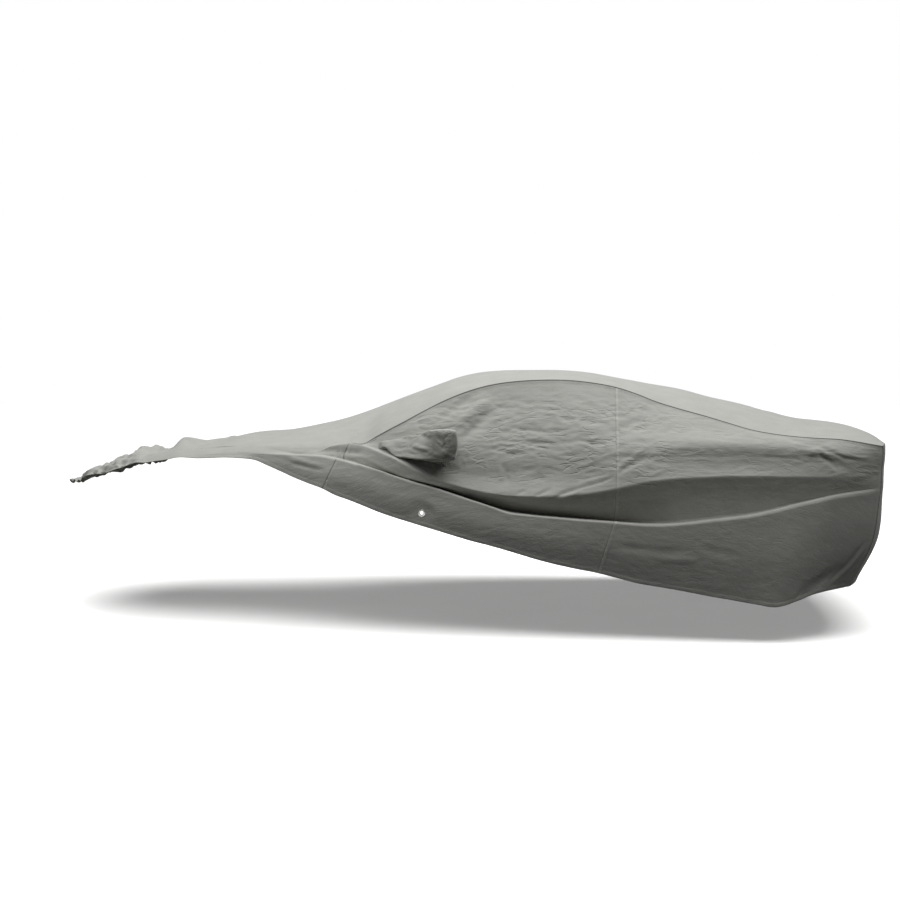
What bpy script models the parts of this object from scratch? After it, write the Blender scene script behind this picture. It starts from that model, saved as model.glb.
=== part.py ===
"""A fitted car cover as it hangs when it is drawn on from the back and pushed up at the front.

The cloth is one surface, worked out from named lines that run from the front to the back: the
upper seam, the lines of the side folds and the hem. Each table below has one row for each place
along the cover, and its columns are distances in metres:
along  behind (+) or ahead (-) of the highest point
out    sideways from the middle line
high   above the floor
The origin is the underside of the cloth at its highest point. -X is the front, -Y the left side.
"""

import math

import bmesh
import bpy
import numpy as np
from mathutils import Matrix, Vector

# Driving dimensions
CROWN_HIGH = 1.256  # the underside of the cloth at the highest point
CLOTH_THICKNESS = 0.002
PIECE_GAP = 0.0003
FRONT_ALONG = -2.50
FRONT_SEAM_ALONG = -0.866
MID_SEAM_ALONG = 0.43
CORNER_ALONG = 1.67  # the top of the rear corner seams
CORNER_OUT = 0.78
TAIL_ALONG = 1.757  # the back of the tail on the middle line
FRONT_BOW = 0.225  # how far the front edge runs back at the hem
FRONT_BOW_OUT = 0.55
FRONT_BOW_END = -1.75
TAIL_BOW_START = 1.0
TAIL_SQUARENESS = 3  # how late the plan of the tail turns into its corners
CORNER_RAKE = 0.032  # how far the rear corner seams lean forward low down
CORNER_RAKE_HIGH = (0.75, 0.45)  # where they start and end to lean
CORNER_DRAW_IN = 0.25  # how much the corners close in for each metre the tail lies inward
CROWN_CURVE = 2.2  # how late the top turns down into the upper seam
FLAP_BELLY = 0.004  # how far the lower flap bows out between the ridge and the hem
FLAP_BELLY_ALONG = (-1.3, -0.9)  # where it starts to


def table(columns, *rows):
    """The rows as one array for each named column."""
    return dict(zip(columns.split(), np.array(rows, float).T))


# The middle line of the top, front to back
CROWN = table(
    "along high",
    (-2.50, 0.630), (-2.38, 0.678), (-2.26, 0.750), (-2.15, 0.786), (-2.04, 0.799),
    (-1.95, 0.824), (-1.85, 0.839), (-1.74, 0.856), (-1.65, 0.882), (-1.53, 0.911),
    (-1.31, 0.931), (-1.15, 0.963), (-0.98, 1.003), (-0.82, 1.058), (-0.65, 1.123),
    (-0.49, 1.182), (-0.38, 1.220), (-0.28, 1.242), (-0.17, 1.253), (0.00, CROWN_HIGH),
    (0.15, 1.253), (0.31, 1.240), (0.47, 1.211), (0.63, 1.184), (0.79, 1.156),
    (0.94, 1.116), (1.10, 1.080), (1.26, 1.036), (1.41, 1.002), (1.52, 0.990),
    (1.61, 0.979), (1.68, 0.961), (1.72, 0.942), (TAIL_ALONG, 0.910),
)  # fmt: skip

# The lines of the side, from the upper seam down to the hem
SEAM = table(
    "along out high",
    (-2.40, 0.36, 0.668), (-2.10, 0.46, 0.785), (-1.92, 0.515, 0.832), (-1.60, 0.57, 0.872),
    (-1.20, 0.64, 0.894), (-1.05, 0.66, 0.896), (-0.95, 0.665, 0.907), (-0.87, 0.673, 0.919),
    (-0.79, 0.688, 0.909), (-0.72, 0.684, 0.943), (-0.62, 0.667, 0.996), (-0.43, 0.620, 1.099),
    (-0.22, 0.580, 1.178), (0.04, 0.565, 1.212), (0.34, 0.570, 1.196), (0.49, 0.580, 1.162),
    (0.60, 0.600, 1.118), (0.91, 0.690, 1.027), (1.09, 0.752, 0.975), (1.26, 0.785, 0.952),
    (1.47, 0.792, 0.941),
)  # fmt: skip
SILL = table(
    "along out high",
    (-2.39, 0.38, 0.672), (-2.10, 0.485, 0.783), (-1.92, 0.54, 0.830), (-1.60, 0.585, 0.870),
    (-1.20, 0.66, 0.889), (-1.05, 0.68, 0.887), (-0.95, 0.68, 0.902), (-0.87, 0.683, 0.915),
    (-0.79, 0.696, 0.904), (-0.72, 0.699, 0.924), (-0.59, 0.695, 0.968), (-0.43, 0.700, 1.005),
    (-0.22, 0.715, 0.986), (0.04, 0.735, 0.975), (0.30, 0.762, 0.975), (0.50, 0.750, 0.985),
    (0.80, 0.752, 0.983), (1.07, 0.802, 0.950), (1.27, 0.826, 0.928), (1.47, 0.822, 0.912),
)  # fmt: skip
BELT = table(
    "along out high",
    (-2.38, 0.40, 0.675), (-2.10, 0.51, 0.780), (-1.92, 0.56, 0.827), (-1.60, 0.60, 0.867),
    (-1.30, 0.66, 0.884), (-1.05, 0.70, 0.879), (-0.95, 0.692, 0.899), (-0.87, 0.692, 0.912),
    (-0.79, 0.704, 0.900), (-0.72, 0.711, 0.908), (-0.59, 0.722, 0.925), (-0.43, 0.742, 0.925),
    (-0.22, 0.764, 0.912), (0.04, 0.786, 0.895), (0.30, 0.826, 0.872), (0.50, 0.846, 0.882),
    (0.80, 0.852, 0.903), (1.07, 0.855, 0.905), (1.27, 0.854, 0.893), (1.47, 0.838, 0.877),
)  # fmt: skip
TROUGH = table(
    "along out high",
    (-2.375, 0.41, 0.677), (-2.10, 0.525, 0.778), (-1.92, 0.57, 0.825), (-1.60, 0.61, 0.865),
    (-1.30, 0.667, 0.881), (-1.05, 0.71, 0.873), (-0.95, 0.699, 0.897), (-0.87, 0.698, 0.909),
    (-0.79, 0.710, 0.898), (-0.72, 0.724, 0.894), (-0.59, 0.744, 0.885), (-0.43, 0.772, 0.860),
    (-0.22, 0.798, 0.835), (0.04, 0.815, 0.825), (0.30, 0.847, 0.825), (0.50, 0.863, 0.843),
    (0.80, 0.862, 0.857), (1.07, 0.865, 0.860), (1.27, 0.861, 0.855), (1.47, 0.844, 0.850),
)  # fmt: skip
BROW = table(
    "along out high",
    (-2.37, 0.42, 0.680), (-2.10, 0.54, 0.776), (-1.92, 0.583, 0.822), (-1.60, 0.62, 0.863),
    (-1.30, 0.673, 0.878), (-1.05, 0.72, 0.867), (-0.95, 0.706, 0.894), (-0.87, 0.704, 0.906),
    (-0.79, 0.716, 0.895), (-0.72, 0.736, 0.880), (-0.59, 0.772, 0.849), (-0.43, 0.804, 0.800),
    (-0.22, 0.834, 0.748), (0.04, 0.836, 0.768), (0.30, 0.865, 0.778), (0.50, 0.884, 0.803),
    (0.80, 0.879, 0.810), (1.07, 0.880, 0.812), (1.27, 0.873, 0.812), (1.47, 0.850, 0.815),
)  # fmt: skip
LIP = table(
    "along out high",
    (-2.36, 0.43, 0.682), (-2.10, 0.55, 0.774), (-1.92, 0.595, 0.820), (-1.60, 0.63, 0.861),
    (-1.30, 0.68, 0.874), (-1.05, 0.732, 0.860), (-0.995, 0.722, 0.880), (-0.936, 0.714, 0.893),
    (-0.87, 0.711, 0.903), (-0.788, 0.735, 0.893), (-0.727, 0.765, 0.873), (-0.635, 0.812, 0.839),
    (-0.58, 0.838, 0.816), (-0.446, 0.866, 0.750), (-0.353, 0.878, 0.724), (-0.211, 0.886, 0.690),
    (-0.10, 0.896, 0.674), (0.12, 0.910, 0.672), (0.26, 0.914, 0.683), (0.43, 0.915, 0.712),
    (0.58, 0.912, 0.745), (0.82, 0.905, 0.768), (1.05, 0.902, 0.775), (1.27, 0.888, 0.772),
    (1.47, 0.857, 0.770),
)  # fmt: skip
VALLEY = table(
    "along out high",
    (-2.34, 0.46, 0.688), (-2.09, 0.575, 0.768), (-1.92, 0.622, 0.812), (-1.60, 0.655, 0.853),
    (-1.30, 0.70, 0.864), (-1.05, 0.739, 0.855), (-0.995, 0.732, 0.866), (-0.936, 0.732, 0.862),
    (-0.87, 0.744, 0.860), (-0.787, 0.768, 0.838), (-0.717, 0.790, 0.808), (-0.617, 0.824, 0.763),
    (-0.502, 0.860, 0.736), (-0.397, 0.874, 0.715), (-0.298, 0.866, 0.696), (-0.21, 0.842, 0.670),
    (-0.11, 0.842, 0.645), (0.12, 0.884, 0.634), (0.36, 0.886, 0.635), (0.43, 0.887, 0.640),
    (0.60, 0.886, 0.660), (0.82, 0.882, 0.678), (1.05, 0.882, 0.690), (1.27, 0.874, 0.712),
    (1.47, 0.850, 0.725),
)  # fmt: skip
GUTTER = table(
    "along out high",
    (-2.33, 0.475, 0.691), (-2.085, 0.588, 0.765), (-1.92, 0.633, 0.807), (-1.60, 0.667, 0.848),
    (-1.30, 0.712, 0.858), (-1.05, 0.746, 0.850), (-0.995, 0.743, 0.849), (-0.936, 0.742, 0.838),
    (-0.87, 0.752, 0.824), (-0.79, 0.772, 0.803), (-0.72, 0.782, 0.782), (-0.62, 0.782, 0.750),
    (-0.505, 0.782, 0.720), (-0.40, 0.785, 0.688), (-0.30, 0.790, 0.655), (-0.21, 0.780, 0.625),
    (-0.11, 0.782, 0.595), (0.12, 0.795, 0.568), (0.36, 0.812, 0.552), (0.60, 0.832, 0.543),
    (0.73, 0.854, 0.550), (0.886, 0.858, 0.571), (1.085, 0.862, 0.600), (1.268, 0.856, 0.646),
    (1.44, 0.842, 0.687),
)  # fmt: skip
RIDGE = table(
    "along out high",
    (-2.32, 0.49, 0.694), (-2.08, 0.60, 0.762), (-1.92, 0.645, 0.803), (-1.60, 0.68, 0.843),
    (-1.30, 0.725, 0.852), (-1.20, 0.757, 0.850), (-1.095, 0.79, 0.852), (-0.99, 0.82, 0.848),
    (-0.885, 0.84, 0.830), (-0.794, 0.856, 0.810), (-0.685, 0.877, 0.783), (-0.56, 0.90, 0.741),
    (-0.42, 0.914, 0.705), (-0.266, 0.931, 0.657), (-0.16, 0.942, 0.626), (-0.084, 0.95, 0.599),
    (0.043, 0.956, 0.585), (0.197, 0.962, 0.573), (0.42, 0.970, 0.560), (0.584, 0.972, 0.549),
    (0.73, 0.970, 0.556), (0.886, 0.965, 0.576), (1.085, 0.950, 0.603), (1.268, 0.922, 0.647),
    (1.44, 0.878, 0.682),
)  # fmt: skip
HEM = table(
    "along out high",
    (-2.275, 0.55, 0.700), (-2.10, 0.62, 0.747), (-1.95, 0.665, 0.787), (-1.80, 0.686, 0.812),
    (-1.60, 0.706, 0.825), (-1.41, 0.73, 0.828), (-1.315, 0.74, 0.817), (-1.24, 0.771, 0.788),
    (-1.17, 0.80, 0.764), (-1.09, 0.833, 0.734), (-1.034, 0.856, 0.717), (-0.975, 0.88, 0.700),
    (-0.92, 0.885, 0.673), (-0.83, 0.892, 0.642), (-0.67, 0.910, 0.583), (-0.53, 0.926, 0.542),
    (-0.40, 0.938, 0.506), (-0.264, 0.944, 0.467), (-0.112, 0.950, 0.430), (0.043, 0.953, 0.385),
    (0.198, 0.955, 0.348), (0.343, 0.955, 0.322), (0.547, 0.957, 0.273), (0.709, 0.958, 0.249),
    (0.818, 0.960, 0.228), (0.938, 0.957, 0.208), (1.057, 0.954, 0.188), (1.13, 0.952, 0.177),
    (1.20, 0.95, 0.175), (1.242, 0.933, 0.190), (1.31, 0.90, 0.216), (1.40, 0.85, 0.226),
)  # fmt: skip

# How far ahead of its cut through the cloth each of two lines lies, so that the seams lean
LEAN = table(
    "along ridge hem",
    (-2.50, 0.0, 0.0), (-1.60, 0.0, 0.0), (-1.20, -0.02, -0.05), (-0.866, -0.043, -0.102),
    (-0.40, -0.03, -0.10), (0.43, -0.01, -0.085), (0.90, -0.02, -0.095), (1.50, -0.03, -0.12),
)  # fmt: skip

# How far the back of the tail lies inward of its top edge at each height
TAIL_PROFILE = table(
    "high inward",
    (0.240, 0.110), (0.260, 0.086), (0.31, 0.054), (0.37, 0.030), (0.43, 0.014), (0.50, 0.005),
    (0.60, 0.002), (0.70, 0.003), (0.80, 0.003), (0.87, -0.002), (0.91, 0.0),
)  # fmt: skip

# The lines in order, with their height round the tail and the steps of cloth to the next line
TAIL_HIGH = {
    "seam": 0.910, "sill": 0.885, "belt": 0.855, "trough": 0.832, "brow": 0.800, "lip": 0.775,
    "valley": 0.735, "gutter": 0.715, "ridge": 0.700, "flap": 0.450, "hem": 0.245,
}  # fmt: skip
STEPS_TO_NEXT = (2, 2, 1, 1, 2, 2, 2, 1, 3, 3)

# How near a sharply folded line the cloth is still straight, at most a third of the way to the next
SHARP_LINES = {"lip": 0.030, "valley": 0.010, "gutter": 0.010, "ridge": 0.015}

# Shares of the way from the middle line (0) to the upper seam (1)
ACROSS = np.array((0.0, 0.28, 0.54, 0.76, 0.91, 1.0))
SEAM_ROW = len(ACROSS) - 1
HEM_ROW = SEAM_ROW + sum(STEPS_TO_NEXT)

# The cuts across the cloth that end its cells, front to back
PUSHED_UP_CUTS = np.linspace(FRONT_ALONG, -1.90, 14)
FRONT_CUTS = np.linspace(-1.90, FRONT_SEAM_ALONG, 13)[1:]
DOOR_CUTS = (-0.80, -0.73, -0.66, -0.59, -0.52, -0.445, -0.385, -0.33, -0.24, -0.15, -0.06, 0.04, 0.14, 0.24, 0.335)
QUARTER_CUTS = (MID_SEAM_ALONG, 0.53, 0.63, 0.74, 0.85, 0.96, 1.07, 1.18, 1.28, 1.37, 1.46)
SIDE_CUTS = np.array([*PUSHED_UP_CUTS, *FRONT_CUTS, *DOOR_CUTS, *QUARTER_CUTS])
CORNER_CUTS = (1.57, CORNER_ALONG)
CUTS = np.array([*SIDE_CUTS, *CORNER_CUTS])

# The cross folds of the pushed-up front. lift is their height over the middle and edge_lift at
# the hem, ahead and behind the lengths of their slopes, skew how far they run back per metre out.
FRONT_FOLDS = table(
    "along skew lift edge_lift ahead behind",
    (-1.900, 0.25, 0.054, 0.008, 0.08, 0.10),
    (-2.095, 0.20, 0.045, 0.010, 0.10, 0.06),
    (-2.235, 0.25, 0.015, 0.004, 0.05, 0.07),
    (-2.355, 0.20, 0.022, 0.014, 0.06, 0.10),
    (-2.475, 0.10, 0.016, 0.008, 0.05, 0.06),
)

# How much lower the right side of the pushed-up front lies, between the middle and the hem
RIGHT_SAG = 0.040
RIGHT_SAG_START = (0.0, 0.25)
RIGHT_SAG_END = (0.42, 0.60)
RIGHT_SAG_AHEAD = (-2.35, -2.17)
RIGHT_SAG_BEHIND = (-1.92, -1.67)

# Soft folds of the sides, from one point to another as seen from the side. side is -1 left, 1 right.
SIDE_FOLDS = table(
    "side along high to_along to_high lift half_width",
    (-1, -0.36, 1.000, -0.20, 1.110, 0.010, 0.05),
    (-1, -0.28, 0.940, -0.14, 1.070, -0.009, 0.04),
    (-1, 1.28, 0.915, 1.60, 0.850, 0.010, 0.04),
    (-1, 1.36, 0.885, 1.50, 0.800, -0.007, 0.03),
    (-1, 1.30, 0.240, 1.47, 0.340, -0.012, 0.04),
    (1, -0.34, 0.980, -0.17, 1.100, 0.010, 0.05),
    (1, 1.26, 0.900, 1.58, 0.850, 0.009, 0.05),
    (1, 0.10, 0.850, 0.55, 0.880, -0.006, 0.05),
    (1, 1.28, 0.250, 1.45, 0.360, -0.010, 0.04),
)

# The mirror pocket: the part of the door panel that it opens from, and its loops outwards
POCKET_ALONG = (-0.66, -0.385)
POCKET_ROWS = (SEAM_ROW + 4, SEAM_ROW + 7)
POCKET_LOOPS = table(
    "out front back low high",
    (0.850, -0.585, -0.335, 0.818, 0.962),
    (0.915, -0.525, -0.322, 0.812, 0.978),
    (0.965, -0.465, -0.315, 0.820, 0.986),
    (0.992, -0.435, -0.316, 0.832, 0.984),
    (1.002, -0.405, -0.330, 0.856, 0.966),
)
POCKET_ROOT = 0.008  # how far the pocket stands straight out of the panel before it spreads
POCKET_SQUARENESS = 3.0
POCKET_END_BULGE = 0.004

# The eyelet in the lower flap
EYELET_ALONG = -0.484
EYELET_HIGH = 0.590
EYELET_FLAT = 0.068  # the cloth is pressed flat this far round it
STRIP_STEPS = STEPS_TO_NEXT[-1]  # the steps of cloth in the strip along the hem that holds the eyelet
HOLE_RADIUS = 0.0095
CUTTER_LENGTH = 0.03
RING_BORE = 0.0080
RING_BARREL = 0.0091
RING_FRONT = 0.0165
RING_BACK = 0.0145
RING_CLEARANCE = 0.0004
RING_METAL = 0.0009
RING_LIP = 0.4  # how much higher the inner edge of the front flange is rolled, in thicknesses of metal
RING_STEPS = 28

CLOTH_COLOUR = (0.33, 0.33, 0.30, 1.0)
METAL_COLOUR = (0.80, 0.80, 0.78, 1.0)


def smooth(at, knots, values):
    """A smooth curve through the values at the knots, read at each place."""
    slopes = np.gradient(values, knots, axis=0)
    span = np.clip(np.searchsorted(knots, at) - 1, 0, len(knots) - 2)
    length = (knots[span + 1] - knots[span])[:, None]
    t = (at - knots[span])[:, None] / length
    start = values[span] * (1 + 2 * t) + slopes[span] * length * t
    end = values[span + 1] * (3 - 2 * t) + slopes[span + 1] * length * (t - 1)
    return start * (1 - t) ** 2 + end * t**2


def ease(start, end, value):
    """0 before start and 1 after end, with a soft change between."""
    t = np.clip((value - start) / (end - start), 0, 1)
    return t * t * (3 - 2 * t)


def read(rows, name, at):
    """A column of a table at each place, held beyond its ends."""
    places = next(iter(rows.values()))
    return smooth(np.clip(at, places.min(), places.max()), places, rows[name][:, None])[:, 0]


def front_bow(cut, out):
    return FRONT_BOW * (1 - ease(FRONT_ALONG, FRONT_BOW_END, cut)) * np.minimum(out / FRONT_BOW_OUT, 1) ** 2


def side_line(rows, lean):
    """The (along, out, high) of one line at each cut of the sides."""
    along = SIDE_CUTS + lean
    for _ in range(4):  # the bow depends on how far out the line is there
        along = SIDE_CUTS + lean + front_bow(SIDE_CUTS, read(rows, "out", along))
    return np.stack([along, read(rows, "out", along), read(rows, "high", along)], axis=1)


def tail_line(high, share):
    """The same round the tail, at each share of the way from the middle (0) to the corner (1)."""
    inward = read(TAIL_PROFILE, "inward", np.full(len(share), high))
    rake = CORNER_RAKE * ease(*CORNER_RAKE_HIGH, high)
    turn = share**TAIL_SQUARENESS
    along = TAIL_ALONG - (TAIL_ALONG - CORNER_ALONG + rake) * turn - inward
    return np.stack([along, share * (CORNER_OUT - CORNER_DRAW_IN * inward), np.full(len(share), high)], axis=1)


def sharpened(lines, knots):
    """One cut's lines and their places down it, with a point more each side of its sharp lines."""
    where = list(knots)
    for name, reach in SHARP_LINES.items():
        line = list(TAIL_HIGH).index(name)
        where.append(knots[line] - min(reach, (knots[line] - knots[line - 1]) / 3))
        where.append(knots[line] + min(reach, (knots[line + 1] - knots[line]) / 3))
    where = np.sort(where)
    return where, np.stack([np.interp(where, knots, column) for column in lines.T], axis=1)


def down_the_side(lines):
    """The points of one cut from the seam to the hem, in even steps between its lines."""
    knots = np.concatenate([[0], np.cumsum(np.linalg.norm(np.diff(lines, axis=0), axis=1))])
    places = [knots[0]]
    for line, steps in enumerate(STEPS_TO_NEXT):
        places.extend(np.linspace(knots[line], knots[line + 1], steps + 1)[1:])
    return smooth(np.array(places), *sharpened(lines, knots))


def side_lines():
    """Every line of the side at every cut, as an array of cuts, lines and (along, out, high)."""
    ridge_lean = read(LEAN, "ridge", SIDE_CUTS)
    hem_lean = read(LEAN, "hem", SIDE_CUTS)
    lines = [side_line(rows, 0) for rows in (SEAM, SILL, BELT, TROUGH, BROW, LIP)]
    lines += [side_line(rows, ridge_lean / 2) for rows in (VALLEY, GUTTER)]
    lines.append(side_line(RIDGE, ridge_lean))
    hem = side_line(HEM, hem_lean)
    flap = (lines[-1] + hem) / 2
    flap[:, 1] += FLAP_BELLY * ease(*FLAP_BELLY_ALONG, SIDE_CUTS)
    lines += [flap, hem]
    corner = [tail_line(high, np.ones(1)) for high in TAIL_HIGH.values()]
    known = np.concatenate([SIDE_CUTS, [CORNER_ALONG]])
    return np.stack([smooth(CUTS, known, np.vstack(pair)) for pair in zip(lines, corner)], axis=1)


def top_rows(seam):
    """The points between the middle line and the upper seam at each cut."""
    tail_bow = (TAIL_ALONG - CORNER_ALONG) * ease(TAIL_BOW_START, CORNER_ALONG, CUTS)
    crown = read(CROWN, "high", CUTS + tail_bow)
    rows = []
    for share in ACROSS[:-1]:
        out = share * seam[:, 1]
        along = CUTS + front_bow(CUTS, out) + tail_bow * (1 - share**TAIL_SQUARENESS)
        rows.append(np.stack([along, out, crown + (seam[:, 2] - crown) * share**CROWN_CURVE], axis=1))
    return np.stack(rows, axis=1)


def add_front_folds(points):
    """Lifts the cloth in the uneven cross folds of the pushed-up front."""
    along, out = points[..., 0], points[..., 1]
    to_hem = np.clip(out / FRONT_BOW_OUT, 0, 1)
    for centre, skew, lift, edge_lift, ahead, behind in zip(*FRONT_FOLDS.values()):
        away = along - centre - skew * out
        slope = np.where(away < 0, -away / ahead, away / behind)
        height = lift + (edge_lift - lift) * to_hem**2
        points[..., 2] += height * (1 - ease(0, 1, slope))


def add_side_folds(points, side):
    """Moves the cloth of one side out or in along its soft folds."""
    for row in zip(*SIDE_FOLDS.values()):
        start, end, lift, half_width = np.array(row[1:3]), np.array(row[3:5]), row[5], row[6]
        if row[0] != side:
            continue
        run = end - start
        place = points[..., [0, 2]] - start
        share = np.clip(place @ run / (run @ run), 0, 1)
        away = np.linalg.norm(place - share[..., None] * run, axis=-1)
        points[..., 1] += lift * (1 - ease(0, half_width, away)) * np.sin(math.pi * (0.1 + 0.8 * share))


def in_frame(points, side=1):
    """From (along, out, high) to the frame's X, Y and Z."""
    return points * (1, side, 1) - (0, 0, CROWN_HIGH)


def cover_points():
    """The cloth but for the tail: cuts by rows from the left hem to the right hem."""
    lines = side_lines()
    sides = np.stack([down_the_side(cut) for cut in lines])
    half = np.concatenate([top_rows(lines[:, 0]), sides], axis=1)
    add_front_folds(half)
    halves = []
    for side in (-1, 1):
        folded = half.copy()
        add_side_folds(folded[:, SEAM_ROW + 1 :], side)
        if side == 1:
            along, out = folded[..., 0], folded[..., 1]
            sag = ease(*RIGHT_SAG_START, out) * (1 - ease(*RIGHT_SAG_END, out))
            sag *= ease(*RIGHT_SAG_AHEAD, along) * (1 - ease(*RIGHT_SAG_BEHIND, along))
            folded[..., 2] -= RIGHT_SAG * sag
        halves.append(in_frame(folded, side))
    return np.concatenate([halves[0][:, :0:-1], halves[1]], axis=1)


def tail_points(cover):
    """The tail: from the left corner seam to the right one, by rows from the hem to the seam."""
    lines = np.stack([tail_line(high, ACROSS) for high in TAIL_HIGH.values()], axis=1)
    half = np.stack([down_the_side(share) for share in lines])[:, ::-1]
    tail = np.concatenate([in_frame(half[:0:-1], -1), in_frame(half)])
    side_rows = HEM_ROW - SEAM_ROW + 1
    tail[0] = cover[-1, :side_rows]
    tail[-1] = cover[-1, ::-1][:side_rows]
    return tail


def collection(name):
    made = bpy.data.collections.new(name)
    bpy.context.scene.collection.children.link(made)
    return made


def material(name, colour, roughness, metallic):
    made = bpy.data.materials.new(name)
    made.use_nodes = True
    shader = made.node_tree.nodes["Principled BSDF"]
    shader.inputs["Base Color"].default_value = colour
    shader.inputs["Roughness"].default_value = roughness
    shader.inputs["Metallic"].default_value = metallic
    return made


def add_object(name, mesh, into, finish):
    made = bpy.data.objects.new(name, mesh)
    into.objects.link(made)
    mesh.materials.append(finish)
    return made


def draw_in(sheet, distance):
    """Moves every open edge of a sheet in along the cloth, so that the pieces lie apart."""
    inward = {}
    for edge in (edge for edge in sheet.edges if edge.is_boundary):
        along = (edge.verts[1].co - edge.verts[0].co).normalized()
        middle = (edge.verts[0].co + edge.verts[1].co) / 2
        into = edge.link_faces[0].calc_center_median() - middle
        into = (into - along * into.dot(along)).normalized()
        for vertex in edge.verts:
            inward.setdefault(vertex, []).append(into)
    for vertex, (first, second) in inward.items():
        vertex.co += (first + second) * distance / (1 + first.dot(second))


def sheet_of(name, points, cells, into, finish):
    """A thin sheet over the chosen cells of a grid of points, its inner face on the points."""
    sheet = bmesh.new()
    vertices = {}
    for cut, row in cells:
        corners = [(cut, row), (cut + 1, row), (cut + 1, row + 1), (cut, row + 1)]
        for corner in corners:
            if corner not in vertices:
                vertices[corner] = sheet.verts.new(points[corner])
        sheet.faces.new([vertices[corner] for corner in corners])
    draw_in(sheet, PIECE_GAP / 2)
    mesh = bpy.data.meshes.new(name)
    sheet.to_mesh(mesh)
    sheet.free()
    mesh.shade_smooth()
    made = add_object(name, mesh, into, finish)
    thicken(made, 1)
    return made


def thicken(sheet, offset):
    shell = sheet.modifiers.new("Cloth", "SOLIDIFY")
    shell.thickness = CLOTH_THICKNESS
    shell.offset = offset


def facing_at(points, cut, row):
    """The way the cloth faces at one point of its grid."""
    along = points[cut + 1, row] - points[cut - 1, row]
    across = points[cut, row + 1] - points[cut, row - 1]
    facing = np.cross(along, across)
    return facing / np.linalg.norm(facing)


def cell_block(cuts, rows):
    return {(cut, row) for cut in range(*cuts) for row in range(*rows)}


def press_flat(points, side):
    """Presses the cloth flat round the eyelet. Returns its centre there and the way it faces."""
    centre = np.array([EYELET_ALONG, EYELET_HIGH - CROWN_HIGH])
    near = np.linalg.norm(points[..., [0, 2]] - centre, axis=-1) < EYELET_FLAT
    near &= points[..., 1] * side > 0
    middle = points[near].mean(axis=0)
    facing = np.linalg.svd(points[near] - middle)[2][2]
    facing *= math.copysign(1, facing[1] * side)
    points[near] -= np.outer((points[near] - middle) @ facing, facing)
    depth = middle[1] - ((centre - middle[[0, 2]]) @ facing[[0, 2]]) / facing[1]
    return Vector((centre[0], depth, centre[1])), Vector(facing)


def with_halfway(loop):
    """The points of a closed loop, with one more halfway to each next."""
    return np.stack([loop, (loop + np.roll(loop, -1, axis=0)) / 2], axis=1).reshape(-1, 3)


def mirror_pocket(name, hole, facing, side, into, finish):
    """A bag over the hole in the door panel, with its outer face on the loops and open inwards."""
    ring = with_halfway(hole)
    middle = ring.mean(axis=0)
    inward = (middle - ring) / np.linalg.norm(middle - ring, axis=1)[:, None]
    ring += inward * PIECE_GAP
    loops = [ring, ring + with_halfway(facing) * POCKET_ROOT + inward * PIECE_GAP]
    reach = np.ptp(ring, axis=0) / 2
    turn = np.arctan2((ring[:, 2] - middle[2]) / reach[2], (ring[:, 0] - middle[0]) / reach[0])
    power = 2 / POCKET_SQUARENESS
    across = np.sign(np.cos(turn)) * np.abs(np.cos(turn)) ** power
    upward = np.sign(np.sin(turn)) * np.abs(np.sin(turn)) ** power
    for out, front, back, low, high in zip(*POCKET_LOOPS.values()):
        along = (front + back) / 2 + across * (back - front) / 2
        height = (low + high) / 2 + upward * (high - low) / 2
        loops.append(in_frame(np.stack([along, np.full(len(turn), out), height], axis=1), side))
    bag = bmesh.new()
    rings = [[bag.verts.new(point) for point in loop] for loop in loops]
    for inner, outer in zip(rings, rings[1:]):
        for i, vertex in enumerate(inner):
            after = (i + 1) % len(inner)
            bag.faces.new((vertex, inner[after], outer[after], outer[i]))
    end = bag.verts.new(loops[-1].mean(axis=0) + np.array([0, side * POCKET_END_BULGE, 0]))
    for i, vertex in enumerate(rings[-1]):
        bag.faces.new((vertex, rings[-1][(i + 1) % len(rings[-1])], end))
    mesh = bpy.data.meshes.new(name)
    bag.to_mesh(mesh)
    bag.free()
    mesh.shade_smooth()
    thicken(add_object(name, mesh, into, finish), -1)


def facing_matrix(place, facing):
    return Matrix.Translation(place) @ facing.to_track_quat("Z", "Y").to_matrix().to_4x4()


def cut_hole(panel, place, facing, cutters):
    """Cuts the round hole for the eyelet through a panel."""
    shape = bmesh.new()
    bmesh.ops.create_cone(
        shape, cap_ends=True, segments=RING_STEPS, radius1=HOLE_RADIUS, radius2=HOLE_RADIUS, depth=CUTTER_LENGTH
    )
    mesh = bpy.data.meshes.new("hole_cutter")
    shape.to_mesh(mesh)
    shape.free()
    cutter = bpy.data.objects.new("hole_cutter", mesh)
    cutters.objects.link(cutter)
    cutter.matrix_world = facing_matrix(place, facing)
    cutter.hide_render = True
    cutter.display_type = "WIRE"
    cut = panel.modifiers.new("Eyelet hole", "BOOLEAN")
    cut.operation = "DIFFERENCE"
    cut.object = cutter


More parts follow.
